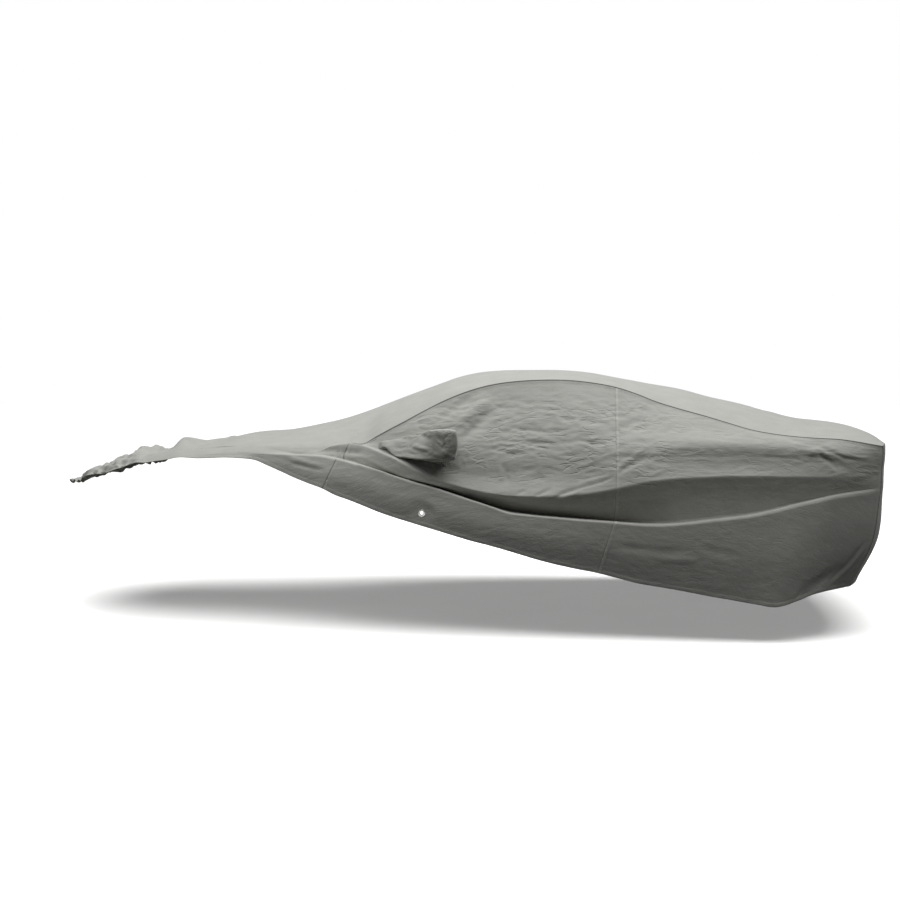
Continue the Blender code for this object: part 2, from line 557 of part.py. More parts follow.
def eyelet(name, place, facing, into, finish):
    """A metal ring crimped through the hole, with a flange on each side of the cloth."""
    front = CLOTH_THICKNESS + RING_CLEARANCE
    profile = [
        (RING_BORE, -RING_CLEARANCE - RING_METAL),
        (RING_BORE, front + RING_METAL),
        (RING_BORE + RING_METAL, front + RING_METAL * (1 + RING_LIP)),
        (RING_FRONT - RING_METAL, front + RING_METAL),
        (RING_FRONT, front),
        (RING_BARREL, front),
        (RING_BARREL, -RING_CLEARANCE),
        (RING_BACK, -RING_CLEARANCE),
        (RING_BACK, -RING_CLEARANCE - RING_METAL),
    ]
    mesh = bpy.data.meshes.new(name)
    count = len(profile)
    mesh.from_pydata([(radius, 0, high) for radius, high in profile], [(i, (i + 1) % count) for i in range(count)], [])
    ring = add_object(name, mesh, into, finish)
    turn = ring.modifiers.new("Turn", "SCREW")
    turn.steps = turn.render_steps = RING_STEPS
    turn.use_merge_vertices = True
    turn.merge_threshold = 0.00001
    turn.use_normal_flip = False
    ring.matrix_world = facing_matrix(place, facing)


for old in list(bpy.data.objects):
    bpy.data.objects.remove(old, do_unlink=True)

pieces = collection("car_cover")
cutters = collection("cutters")
cloth = material("cover_cloth", CLOTH_COLOUR, 0.9, 0.0)
metal = material("eyelet_metal", METAL_COLOUR, 0.35, 1.0)

cover = cover_points()
tail = tail_points(cover)
eyelets = {side: press_flat(cover, side) for side in (-1, 1)}

middle = HEM_ROW
front_cut = int(np.argmin(abs(CUTS - FRONT_SEAM_ALONG)))
mid_cut = int(np.argmin(abs(CUTS - MID_SEAM_ALONG)))
last_cut = len(CUTS) - 1
side_rows = {-1: (0, middle - SEAM_ROW), 1: (middle + SEAM_ROW, middle + HEM_ROW)}

top_cells = cell_block((0, last_cut), (middle - SEAM_ROW, middle + SEAM_ROW))
skirt_cells = {cell for rows in side_rows.values() for cell in cell_block((0, front_cut), rows)}
sheet_of("top_panel", cover, sorted(top_cells | skirt_cells), pieces, cloth)
sheet_of("tail_panel", tail, sorted(cell_block((0, len(tail) - 1), (0, HEM_ROW - SEAM_ROW))), pieces, cloth)

pocket_cuts = [int(np.argmin(abs(CUTS - along))) for along in POCKET_ALONG]
for side, word in ((-1, "left"), (1, "right")):
    low, high = sorted(middle + side * row for row in POCKET_ROWS)
    opening = cell_block(pocket_cuts, (low, high))
    hem_rows = sorted(middle + side * row for row in (HEM_ROW - STRIP_STEPS, HEM_ROW))
    strip_cells = cell_block((front_cut, mid_cut), hem_rows)
    door_cells = cell_block((front_cut, mid_cut), side_rows[side]) - opening - strip_cells
    sheet_of(f"door_panel_{word}", cover, sorted(door_cells), pieces, cloth)
    strip = sheet_of(f"hem_strip_{word}", cover, sorted(strip_cells), pieces, cloth)
    place, facing = eyelets[side]
    cut_hole(strip, place, facing, cutters)
    eyelet(f"eyelet_{word}", place, facing, pieces, metal)
    sheet_of(
        f"quarter_panel_{word}", cover, sorted(cell_block((mid_cut, last_cut), side_rows[side])), pieces, cloth
    )
    first, last = pocket_cuts
    corners = [(cut, low) for cut in range(first, last)]
    corners += [(last, row) for row in range(low, high)]
    corners += [(cut, high) for cut in range(last, first, -1)]
    corners += [(first, row) for row in range(high, low, -1)]
    hole = np.array([cover[corner] for corner in corners])
    facing = np.array([facing_at(cover, *corner) for corner in corners])
    mirror_pocket(f"mirror_pocket_{word}", hole, facing, side, pieces, cloth)
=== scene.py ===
import math

import bpy
import numpy as np
from mathutils import Matrix, Vector, noise


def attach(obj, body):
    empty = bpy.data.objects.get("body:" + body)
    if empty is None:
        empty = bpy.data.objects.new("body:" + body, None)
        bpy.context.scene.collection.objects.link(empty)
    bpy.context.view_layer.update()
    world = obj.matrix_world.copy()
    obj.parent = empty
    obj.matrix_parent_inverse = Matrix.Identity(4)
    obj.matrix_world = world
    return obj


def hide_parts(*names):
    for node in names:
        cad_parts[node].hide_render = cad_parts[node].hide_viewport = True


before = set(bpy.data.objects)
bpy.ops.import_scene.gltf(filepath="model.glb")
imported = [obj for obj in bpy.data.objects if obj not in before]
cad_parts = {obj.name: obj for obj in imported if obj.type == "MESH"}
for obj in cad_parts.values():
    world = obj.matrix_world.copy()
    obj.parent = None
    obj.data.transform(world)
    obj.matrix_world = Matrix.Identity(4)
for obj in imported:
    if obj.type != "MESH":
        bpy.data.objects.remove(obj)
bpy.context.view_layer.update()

# The top panel: one long piece of spun, bonded cloth over the front, the crown and the back. Ahead
# of the front seams it reaches down to the hem on both sides. Its front end is pushed back into
# uneven cross folds, and its hem is turned up once and stitched.
#
# The cloth lies on one surface, given by lines that run from the front to the back. In the tables
# along is behind (+) or ahead (-) of the highest point, out is sideways from the middle line and
# high is above the floor, all in metres.
CROWN_HIGH = 1.256
FRONT_ALONG = -2.50
FRONT_SEAM_ALONG = -0.866
MID_SEAM_ALONG = 0.43
CORNER_ALONG = 1.67
CORNER_OUT = 0.78
TAIL_ALONG = 1.757
FRONT_BOW = 0.225  # how far the front edge runs back at the hem
FRONT_BOW_OUT = 0.55
FRONT_BOW_END = -1.75
BOW_ROUNDS = 4  # the bow depends on how far out the line is there, so it is found in a few rounds
TAIL_BOW_START = 1.0  # behind this the cuts run round with the tail
TAIL_SQUARENESS = 3  # the power of the tail's round plan
CORNER_RAKE = 0.032  # how far a rear corner leans ahead below its top
CORNER_RAKE_HIGH = (0.75, 0.45)
CORNER_DRAW_IN = 0.25  # how far a rear corner draws in per metre that the tail lies inward
CROWN_CURVE = 2.2  # the power by which the top falls from the middle line to the upper seam
FLAP_BELLY = 0.010  # how far the flap stands out between the ridge and the hem
FLAP_BELLY_ALONG = (-1.3, -0.9)


def table(columns, *rows):
    """The rows as one array for each named column."""
    return dict(zip(columns.split(), np.array(rows, float).T))


# The middle line of the top, front to back
CROWN = table(
    "along high",
    (-2.50, 0.630), (-2.38, 0.678), (-2.26, 0.750), (-2.15, 0.786), (-2.04, 0.799),
    (-1.95, 0.824), (-1.85, 0.839), (-1.74, 0.856), (-1.65, 0.882), (-1.53, 0.911),
    (-1.31, 0.931), (-1.15, 0.963), (-0.98, 1.003), (-0.82, 1.058), (-0.65, 1.123),
    (-0.49, 1.182), (-0.38, 1.220), (-0.28, 1.242), (-0.17, 1.253), (0.00, CROWN_HIGH),
    (0.15, 1.253), (0.31, 1.240), (0.47, 1.211), (0.63, 1.184), (0.79, 1.156),
    (0.94, 1.116), (1.10, 1.080), (1.26, 1.036), (1.41, 1.002), (1.52, 0.990),
    (1.61, 0.979), (1.68, 0.961), (1.72, 0.942), (TAIL_ALONG, 0.910),
)  # fmt: skip

# The lines of the side, from the upper seam down to the hem
SEAM = table(
    "along out high",
    (-2.40, 0.36, 0.668), (-2.10, 0.46, 0.785), (-1.92, 0.515, 0.832), (-1.60, 0.57, 0.872),
    (-1.20, 0.64, 0.894), (-1.05, 0.66, 0.894), (-0.95, 0.663, 0.897), (-0.87, 0.667, 0.899),
    (-0.79, 0.683, 0.900), (-0.72, 0.684, 0.943), (-0.62, 0.667, 0.996), (-0.43, 0.620, 1.099),
    (-0.22, 0.580, 1.178), (0.04, 0.565, 1.212), (0.34, 0.570, 1.196), (0.49, 0.580, 1.162),
    (0.60, 0.600, 1.118), (0.91, 0.690, 1.027), (1.09, 0.752, 0.975), (1.26, 0.785, 0.952),
    (1.47, 0.792, 0.941),
)  # fmt: skip
SILL = table(
    "along out high",
    (-2.39, 0.38, 0.672), (-2.10, 0.485, 0.783), (-1.92, 0.54, 0.830), (-1.60, 0.585, 0.870),
    (-1.20, 0.66, 0.889), (-1.05, 0.68, 0.887), (-0.95, 0.68, 0.896), (-0.87, 0.683, 0.900),
    (-0.79, 0.697, 0.898), (-0.72, 0.699, 0.924), (-0.59, 0.695, 0.968), (-0.43, 0.700, 1.005),
    (-0.22, 0.715, 0.986), (0.04, 0.735, 0.975), (0.30, 0.762, 0.975), (0.50, 0.750, 0.985),
    (0.80, 0.752, 0.983), (1.07, 0.802, 0.950), (1.27, 0.826, 0.928), (1.47, 0.822, 0.912),
)  # fmt: skip
BELT = table(
    "along out high",
    (-2.38, 0.40, 0.675), (-2.10, 0.51, 0.780), (-1.92, 0.56, 0.827), (-1.60, 0.60, 0.867),
    (-1.30, 0.66, 0.884), (-1.05, 0.70, 0.879), (-0.95, 0.692, 0.895), (-0.87, 0.692, 0.902),
    (-0.79, 0.707, 0.896), (-0.72, 0.711, 0.908), (-0.59, 0.722, 0.925), (-0.43, 0.742, 0.925),
    (-0.22, 0.764, 0.912), (0.04, 0.786, 0.895), (0.30, 0.826, 0.872), (0.50, 0.846, 0.882),
    (0.80, 0.852, 0.903), (1.07, 0.855, 0.905), (1.27, 0.854, 0.893), (1.47, 0.838, 0.877),
)  # fmt: skip
TROUGH = table(
    "along out high",
    (-2.375, 0.41, 0.677), (-2.10, 0.525, 0.778), (-1.92, 0.57, 0.825), (-1.60, 0.61, 0.865),
    (-1.30, 0.667, 0.881), (-1.05, 0.71, 0.873), (-0.95, 0.699, 0.894), (-0.87, 0.698, 0.902),
    (-0.79, 0.714, 0.895), (-0.72, 0.724, 0.894), (-0.59, 0.744, 0.885), (-0.43, 0.772, 0.860),
    (-0.22, 0.798, 0.835), (0.04, 0.815, 0.825), (0.30, 0.847, 0.825), (0.50, 0.863, 0.843),
    (0.80, 0.862, 0.857), (1.07, 0.865, 0.860), (1.27, 0.861, 0.855), (1.47, 0.844, 0.850),
)  # fmt: skip
BROW = table(
    "along out high",
    (-2.37, 0.42, 0.680), (-2.10, 0.54, 0.776), (-1.92, 0.583, 0.822), (-1.60, 0.62, 0.863),
    (-1.30, 0.673, 0.878), (-1.05, 0.72, 0.867), (-0.95, 0.706, 0.893), (-0.87, 0.704, 0.903),
    (-0.79, 0.722, 0.894), (-0.72, 0.736, 0.880), (-0.59, 0.772, 0.849), (-0.43, 0.804, 0.800),
    (-0.22, 0.834, 0.748), (0.04, 0.836, 0.768), (0.30, 0.865, 0.778), (0.50, 0.884, 0.803),
    (0.80, 0.879, 0.810), (1.07, 0.880, 0.812), (1.27, 0.873, 0.812), (1.47, 0.850, 0.815),
)  # fmt: skip
LIP = table(
    "along out high",
    (-2.36, 0.43, 0.682), (-2.10, 0.55, 0.774), (-1.92, 0.595, 0.820), (-1.60, 0.63, 0.861),
    (-1.30, 0.68, 0.874), (-1.05, 0.732, 0.860), (-0.995, 0.722, 0.880), (-0.936, 0.714, 0.893),
    (-0.87, 0.711, 0.903), (-0.788, 0.735, 0.893), (-0.727, 0.765, 0.873), (-0.635, 0.812, 0.839),
    (-0.58, 0.838, 0.816), (-0.446, 0.866, 0.750), (-0.353, 0.878, 0.724), (-0.211, 0.886, 0.690),
    (-0.10, 0.896, 0.674), (0.12, 0.910, 0.672), (0.26, 0.914, 0.683), (0.43, 0.915, 0.712),
    (0.58, 0.912, 0.745), (0.82, 0.905, 0.768), (1.05, 0.902, 0.775), (1.27, 0.888, 0.772),
    (1.47, 0.857, 0.770),
)  # fmt: skip
VALLEY = table(
    "along out high",
    (-2.34, 0.46, 0.688), (-2.09, 0.575, 0.768), (-1.92, 0.622, 0.812), (-1.60, 0.655, 0.853),
    (-1.30, 0.70, 0.864), (-1.05, 0.739, 0.855), (-0.995, 0.732, 0.866), (-0.936, 0.732, 0.862),
    (-0.87, 0.744, 0.860), (-0.787, 0.768, 0.838), (-0.717, 0.790, 0.808), (-0.617, 0.824, 0.763),
    (-0.502, 0.860, 0.736), (-0.397, 0.874, 0.715), (-0.298, 0.866, 0.696), (-0.21, 0.842, 0.670),
    (-0.11, 0.842, 0.645), (0.12, 0.884, 0.634), (0.36, 0.886, 0.635), (0.43, 0.887, 0.640),
    (0.60, 0.886, 0.660), (0.82, 0.882, 0.678), (1.05, 0.882, 0.690), (1.27, 0.874, 0.712),
    (1.47, 0.850, 0.725),
)  # fmt: skip
GUTTER = table(
    "along out high",
    (-2.33, 0.475, 0.691), (-2.085, 0.588, 0.765), (-1.92, 0.633, 0.807), (-1.60, 0.667, 0.848),
    (-1.30, 0.712, 0.858), (-1.05, 0.746, 0.850), (-0.995, 0.743, 0.849), (-0.936, 0.742, 0.838),
    (-0.87, 0.752, 0.824), (-0.79, 0.772, 0.803), (-0.72, 0.782, 0.782), (-0.62, 0.782, 0.750),
    (-0.505, 0.782, 0.720), (-0.40, 0.785, 0.688), (-0.30, 0.790, 0.655), (-0.21, 0.780, 0.625),
    (-0.11, 0.782, 0.595), (0.12, 0.795, 0.568), (0.36, 0.812, 0.552), (0.60, 0.832, 0.543),
    (0.73, 0.854, 0.550), (0.886, 0.858, 0.571), (1.085, 0.862, 0.600), (1.268, 0.856, 0.646),
    (1.44, 0.842, 0.687),
)  # fmt: skip
RIDGE = table(
    "along out high",
    (-2.32, 0.49, 0.694), (-2.08, 0.60, 0.762), (-1.92, 0.645, 0.803), (-1.60, 0.68, 0.843),
    (-1.30, 0.725, 0.852), (-1.20, 0.757, 0.850), (-1.095, 0.79, 0.852), (-0.99, 0.82, 0.848),
    (-0.885, 0.84, 0.830), (-0.794, 0.856, 0.810), (-0.685, 0.877, 0.783), (-0.56, 0.90, 0.741),
    (-0.42, 0.914, 0.705), (-0.266, 0.931, 0.657), (-0.16, 0.942, 0.626), (-0.084, 0.95, 0.599),
    (0.043, 0.956, 0.585), (0.197, 0.962, 0.573), (0.42, 0.970, 0.560), (0.584, 0.972, 0.549),
    (0.73, 0.970, 0.556), (0.886, 0.965, 0.576), (1.085, 0.950, 0.603), (1.268, 0.922, 0.647),
    (1.44, 0.878, 0.682),
)  # fmt: skip
HEM = table(
    "along out high",
    (-2.275, 0.55, 0.700), (-2.10, 0.62, 0.747), (-1.95, 0.665, 0.787), (-1.80, 0.686, 0.812),
    (-1.60, 0.706, 0.825), (-1.41, 0.73, 0.828), (-1.315, 0.74, 0.817), (-1.24, 0.771, 0.788),
    (-1.17, 0.80, 0.764), (-1.09, 0.833, 0.734), (-1.034, 0.856, 0.717), (-0.975, 0.88, 0.700),
    (-0.92, 0.885, 0.673), (-0.83, 0.892, 0.642), (-0.67, 0.910, 0.583), (-0.53, 0.926, 0.542),
    (-0.40, 0.938, 0.506), (-0.264, 0.944, 0.467), (-0.112, 0.950, 0.430), (0.043, 0.953, 0.385),
    (0.198, 0.955, 0.348), (0.343, 0.955, 0.322), (0.547, 0.957, 0.273), (0.709, 0.958, 0.249),
    (0.818, 0.960, 0.228), (0.938, 0.957, 0.208), (1.057, 0.954, 0.188), (1.13, 0.952, 0.177),
    (1.20, 0.95, 0.175), (1.242, 0.933, 0.190), (1.31, 0.90, 0.216), (1.40, 0.85, 0.226),
)  # fmt: skip

# How far ahead of its cut through the cloth each of two lines lies, so that the seams lean
LEAN = table(
    "along ridge hem",
    (-2.50, 0.0, 0.0), (-1.60, 0.0, 0.0), (-1.20, -0.02, -0.05), (-0.866, -0.043, -0.102),
    (-0.40, -0.03, -0.10), (0.43, -0.01, -0.085), (0.90, -0.02, -0.095), (1.50, -0.03, -0.12),
)  # fmt: skip

# How far the back of the tail lies inward of its top edge at each height
TAIL_PROFILE = table(
    "high inward",
    (0.240, 0.110), (0.260, 0.086), (0.31, 0.054), (0.37, 0.030), (0.43, 0.014), (0.50, 0.005),
    (0.60, 0.002), (0.70, 0.003), (0.80, 0.003), (0.87, -0.002), (0.91, 0.0),
)  # fmt: skip

# The cross folds of the pushed-up front. lift is their height over the middle and edge_lift at
# the hem, ahead and behind the lengths of their slopes, skew how far they run back per metre out.
FRONT_FOLDS = table(
    "along skew lift edge_lift ahead behind",
    (-1.900, 0.25, 0.054, 0.008, 0.08, 0.10),
    (-2.095, 0.20, 0.045, 0.010, 0.10, 0.06),
    (-2.235, 0.25, 0.015, 0.004, 0.05, 0.07),
    (-2.355, 0.20, 0.022, 0.014, 0.06, 0.10),
    (-2.475, 0.10, 0.016, 0.008, 0.05, 0.06),
)

# How much lower the right side of the pushed-up front lies. It starts and ends softly on the way
# out to the hem, and ahead and behind.
RIGHT_SAG = 0.040
RIGHT_SAG_START = (0.0, 0.25)
RIGHT_SAG_END = (0.42, 0.60)
RIGHT_SAG_AHEAD = (-2.35, -2.17)
RIGHT_SAG_BEHIND = (-1.92, -1.67)

# Soft folds of the sides, from one point to another as seen from the side. side is -1 left, 1 right.
SIDE_FOLDS = table(
    "side along high to_along to_high lift half_width",
    (-1, -0.36, 1.000, -0.20, 1.110, 0.010, 0.05),
    (-1, -0.28, 0.940, -0.14, 1.070, -0.009, 0.04),
    (-1, 1.28, 0.915, 1.60, 0.850, 0.010, 0.04),
    (-1, 1.36, 0.885, 1.50, 0.800, -0.007, 0.03),
    (-1, 1.30, 0.240, 1.47, 0.340, -0.012, 0.04),
    (1, -0.34, 0.980, -0.17, 1.100, 0.010, 0.05),
    (1, 1.26, 0.900, 1.58, 0.850, 0.009, 0.05),
    (1, 0.10, 0.850, 0.55, 0.880, -0.006, 0.05),
    (1, 1.28, 0.250, 1.45, 0.360, -0.010, 0.04),
)

FOLD_ENDS = 0.1  # how much of the half wave along a fold is left out at each end

# The lines in order, with their height round the tail, and how close to a sharp line the cloth is
# straight on both sides of it
TAIL_HIGH = {
    "seam": 0.910, "sill": 0.885, "belt": 0.855, "trough": 0.832, "brow": 0.800, "lip": 0.775,
    "valley": 0.735, "gutter": 0.715, "ridge": 0.700, "flap": 0.450, "hem": 0.245,
}  # fmt: skip
SHARP_LINES = {"lip": 0.015, "valley": 0.008, "gutter": 0.006, "ridge": 0.007}
# The cuts through the cloth at which the lines are read. All the others run smoothly between them.
KNOWN_CUTS = np.array([
    *np.linspace(FRONT_ALONG, -1.90, 14), *np.linspace(-1.90, FRONT_SEAM_ALONG, 13)[1:], -0.80, -0.73,
    -0.66, -0.59, -0.52, -0.445, -0.385, -0.33, -0.24, -0.15, -0.06, 0.04, 0.14, 0.24, 0.335,
    MID_SEAM_ALONG, 0.53, 0.63, 0.74, 0.85, 0.96, 1.07, 1.18, 1.28, 1.37, 1.46,
])  # fmt: skip

# The rows of points down the cloth, close together where the cloth of a seam or a hem is folded
# over. A seam has a narrow groove and a flat band, and its cloth is doubled as far as SEAM_BAND.
SEAM_STEPS = np.array((0.0, 0.0015, 0.0035, 0.008, 0.0125, 0.016))
HEM_STEPS = np.array((0.021, 0.0178, 0.0152, 0.0125, 0.005, 0.0))
GROOVE_WIDTH = 0.0035
SEAM_BAND = (0.0125, 0.0158)
HEM_EDGE = (0.0152, 0.0178)
TOP_ROWS = 34
ROWS_TO_NEXT_LINE = np.array((20, 9, 7, 5, 9, 5, 5, 5, 9, 9))
TOP_LENGTH = TOP_ROWS + len(SEAM_STEPS) - 1  # the row of the upper seam, counted from the middle


def run_along(line):
    """How far each point of a line lies from its start, along the line."""
    return np.concatenate([[0], np.cumsum(np.linalg.norm(np.diff(line, axis=0), axis=1))])


def smooth(at, knots, values):
    """A smooth curve through the values at the knots, read at each place."""
    slopes = np.gradient(values, knots, axis=0)
    span = np.clip(np.searchsorted(knots, at) - 1, 0, len(knots) - 2)
    length = (knots[span + 1] - knots[span])[:, None]
    t = (at - knots[span])[:, None] / length
    start = values[span] * (1 + 2 * t) + slopes[span] * length * t
    end = values[span + 1] * (3 - 2 * t) + slopes[span + 1] * length * (t - 1)
    return start * (1 - t) ** 2 + end * t**2


def ease(start, end, value):
    """0 before start and 1 after end, with a soft change between."""
    t = np.clip((value - start) / (end - start), 0, 1)
    return t * t * (3 - 2 * t)


def read(rows, name, at):
    """A column of a table at each place, held beyond its ends."""
    places = next(iter(rows.values()))
    return smooth(np.clip(at, places.min(), places.max()), places, rows[name][:, None])[:, 0]


def front_bow(cut, out):
    """How far a cut near the front has run back at each distance from the middle line."""
    share = np.minimum(out / FRONT_BOW_OUT, 1) ** 2
    return FRONT_BOW * (1 - ease(FRONT_ALONG, FRONT_BOW_END, cut)) * share


def side_line(rows, lean):
    """The (along, out, high) of one line at each known cut."""
    along = KNOWN_CUTS + lean
    for _ in range(BOW_ROUNDS):
        along = KNOWN_CUTS + lean + front_bow(KNOWN_CUTS, read(rows, "out", along))
    return np.stack([along, read(rows, "out", along), read(rows, "high", along)], axis=1)


def tail_line(high, share):
    """The same round the tail, at each share of the way from the middle (0) to the corner (1)."""
    inward = read(TAIL_PROFILE, "inward", np.full(len(share), high))
    turn = share**TAIL_SQUARENESS
    to_corner = TAIL_ALONG - CORNER_ALONG + CORNER_RAKE * ease(*CORNER_RAKE_HIGH, high)
    out = share * (CORNER_OUT - CORNER_DRAW_IN * inward)
    return np.stack([TAIL_ALONG - to_corner * turn - inward, out, np.full(len(share), high)], axis=1)


def lines_at(cuts):
    """Every line of the side at each cut, as an array of cuts, lines and (along, out, high)."""
    ridge_lean = read(LEAN, "ridge", KNOWN_CUTS)
    lines = [side_line(rows, 0) for rows in (SEAM, SILL, BELT, TROUGH, BROW, LIP)]
    lines += [side_line(rows, ridge_lean / 2) for rows in (VALLEY, GUTTER)]
    lines.append(side_line(RIDGE, ridge_lean))
    hem = side_line(HEM, read(LEAN, "hem", KNOWN_CUTS))
    flap = (lines[-1] + hem) / 2
    flap[:, 1] += FLAP_BELLY * ease(*FLAP_BELLY_ALONG, KNOWN_CUTS)
    lines += [flap, hem]
    corner = [tail_line(high, np.ones(1)) for high in TAIL_HIGH.values()]
    known = np.concatenate([KNOWN_CUTS, [CORNER_ALONG]])
    return np.stack([smooth(cuts, known, np.vstack(pair)) for pair in zip(lines, corner)], axis=1)


def sharpened(lines, knots):
    """The places of one cut's lines down it, with one more each side of a sharp line, and the
    points there."""
    where = list(knots)
    for name, reach in SHARP_LINES.items():
        line = list(TAIL_HIGH).index(name)
        where.append(knots[line] - min(reach, (knots[line] - knots[line - 1]) / 3))
        where.append(knots[line] + min(reach, (knots[line + 1] - knots[line]) / 3))
    where = np.sort(where)
    return where, np.stack([np.interp(where, knots, column) for column in lines.T], axis=1)


def down_the_side(lines, fineness):
    """The points of one cut from the upper seam to the hem, and how far each lies from the seam."""
    knots = run_along(lines)
    stops = knots.copy()
    stops[0], stops[-1] = SEAM_STEPS[-1], knots[-1] - HEM_STEPS[0]
    places = [*SEAM_STEPS]
    for line, steps in enumerate(np.round(ROWS_TO_NEXT_LINE * fineness).astype(int)):
        places.extend(np.linspace(stops[line], stops[line + 1], steps + 1)[1:])
    places.extend(knots[-1] - HEM_STEPS[1:])
    return smooth(np.array(places), *sharpened(lines, knots)), np.array(places)


def over_the_top(cuts, seam):
    """The points from the middle line to just above the upper seam, and how far each lies from it."""
    tail_bow = (TAIL_ALONG - CORNER_ALONG) * ease(TAIL_BOW_START, CORNER_ALONG, cuts)
    crown = read(CROWN, "high", cuts + tail_bow)
    evenly = np.linspace(1, 0, TOP_ROWS + 1)[:-1, None]
    away = evenly * (seam[:, 1] - SEAM_STEPS[-1]) + SEAM_STEPS[-1]
    away = np.concatenate([away, np.repeat(SEAM_STEPS[-1:0:-1, None], len(cuts), axis=1)])
    rows = []
    for share in 1 - away / seam[:, 1]:
        out = share * seam[:, 1]
        along = cuts + front_bow(cuts, out) + tail_bow * (1 - share**TAIL_SQUARENESS)
        rows.append(np.stack([along, out, crown + (seam[:, 2] - crown) * share**CROWN_CURVE], axis=1))
    return np.stack(rows, axis=1), -away.T


def add_front_folds(points):
    """Lifts the cloth in the uneven cross folds of the pushed-up front."""
    along, out = points[..., 0].copy(), points[..., 1]
    to_hem = np.clip(out / FRONT_BOW_OUT, 0, 1)
    for centre, skew, lift, edge_lift, ahead, behind in zip(*FRONT_FOLDS.values()):
        away = along - centre - skew * out
        slope = np.where(away < 0, -away / ahead, away / behind)
        height = lift + (edge_lift - lift) * to_hem**2
        points[..., 2] += height * (1 - ease(0, 1, slope))


def add_side_folds(points, side):
    """Moves the cloth of one side out or in along its soft folds."""
    for row in zip(*SIDE_FOLDS.values()):
        start, end, lift, half_width = np.array(row[1:3]), np.array(row[3:5]), row[5], row[6]
        if row[0] != side:
            continue
        run = end - start
        place = points[..., [0, 2]] - start
        share = np.clip(place @ run / (run @ run), 0, 1)
        away = np.linalg.norm(place - share[..., None] * run, axis=-1)
        fullness = np.sin(math.pi * (FOLD_ENDS + (1 - 2 * FOLD_ENDS) * share))
        points[..., 1] += lift * (1 - ease(0, half_width, away)) * fullness


def cover_grid(cuts, fineness=1.0):
    """The bare cloth: cuts by rows from the left hem over the top to the right hem. Returns its
    points, how far each lies below the upper seam (less than 0 above it), and how far from the hem."""
    lines = lines_at(cuts)
    sides = [down_the_side(cut, fineness) for cut in lines]
    top, top_places = over_the_top(cuts, lines[:, 0])
    half = np.concatenate([top, np.stack([points for points, _ in sides])], axis=1)
    below = np.concatenate([top_places, np.stack([places for _, places in sides])], axis=1)
    to_hem = below[:, -1:] - below
    add_front_folds(half)
    halves = []
    for side in (-1, 1):
        folded = half.copy()
        add_side_folds(folded[:, TOP_LENGTH + 1 :], side)
        if side == 1:
            along, out = folded[..., 0], folded[..., 1]
            sag = ease(*RIGHT_SAG_START, out) * (1 - ease(*RIGHT_SAG_END, out))
            sag *= ease(*RIGHT_SAG_AHEAD, along) * (1 - ease(*RIGHT_SAG_BEHIND, along))
            folded[..., 2] -= RIGHT_SAG * sag
        halves.append(folded * (1, side, 1) - (0, 0, CROWN_HIGH))
    mirrored = slice(None, 0, -1)
    return (
        np.concatenate([halves[0][:, mirrored], halves[1]], axis=1),
        np.concatenate([below[:, mirrored], below], axis=1),
        np.concatenate([to_hem[:, mirrored], to_hem], axis=1),
    )


# Creases are lines of places on the cloth, each with its height (less than 0 for a trough) and half
# width in millimetres. Those of a side are seen from the side, as (along, high), and those of the
# top from above, as (along, sideways).
CREASE_ENDS = 0.25  # the share of a crease over which it fades towards each end
CREASE_END_HEIGHT = 0.15
FRONT_CREASES = {
    -1: [
        (-3, 12, (-1.162, 0.855), (-1.10, 0.850), (-1.044, 0.852)),
        (4, 20, (-1.169, 0.840), (-1.06, 0.815), (-0.956, 0.792)),
        (-5, 18, (-1.141, 0.812), (-1.05, 0.798), (-0.96, 0.784)),
        (-9, 24, (-1.055, 0.861), (-1.01, 0.872), (-0.95, 0.872), (-0.86, 0.862)),
        (-6, 10, (-0.884, 0.893), (-0.897, 0.845)),
        (-5, 9, (-0.912, 0.878), (-0.930, 0.840)),
        (4, 8, (-0.898, 0.888), (-0.913, 0.848)),
    ],
    1: [
        (4, 20, (-1.18, 0.845), (-1.05, 0.82), (-0.95, 0.80)),
        (-5, 18, (-1.15, 0.81), (-1.05, 0.79), (-0.97, 0.78)),
        (-8, 24, (-1.03, 0.865), (-0.95, 0.872)),
    ],
}
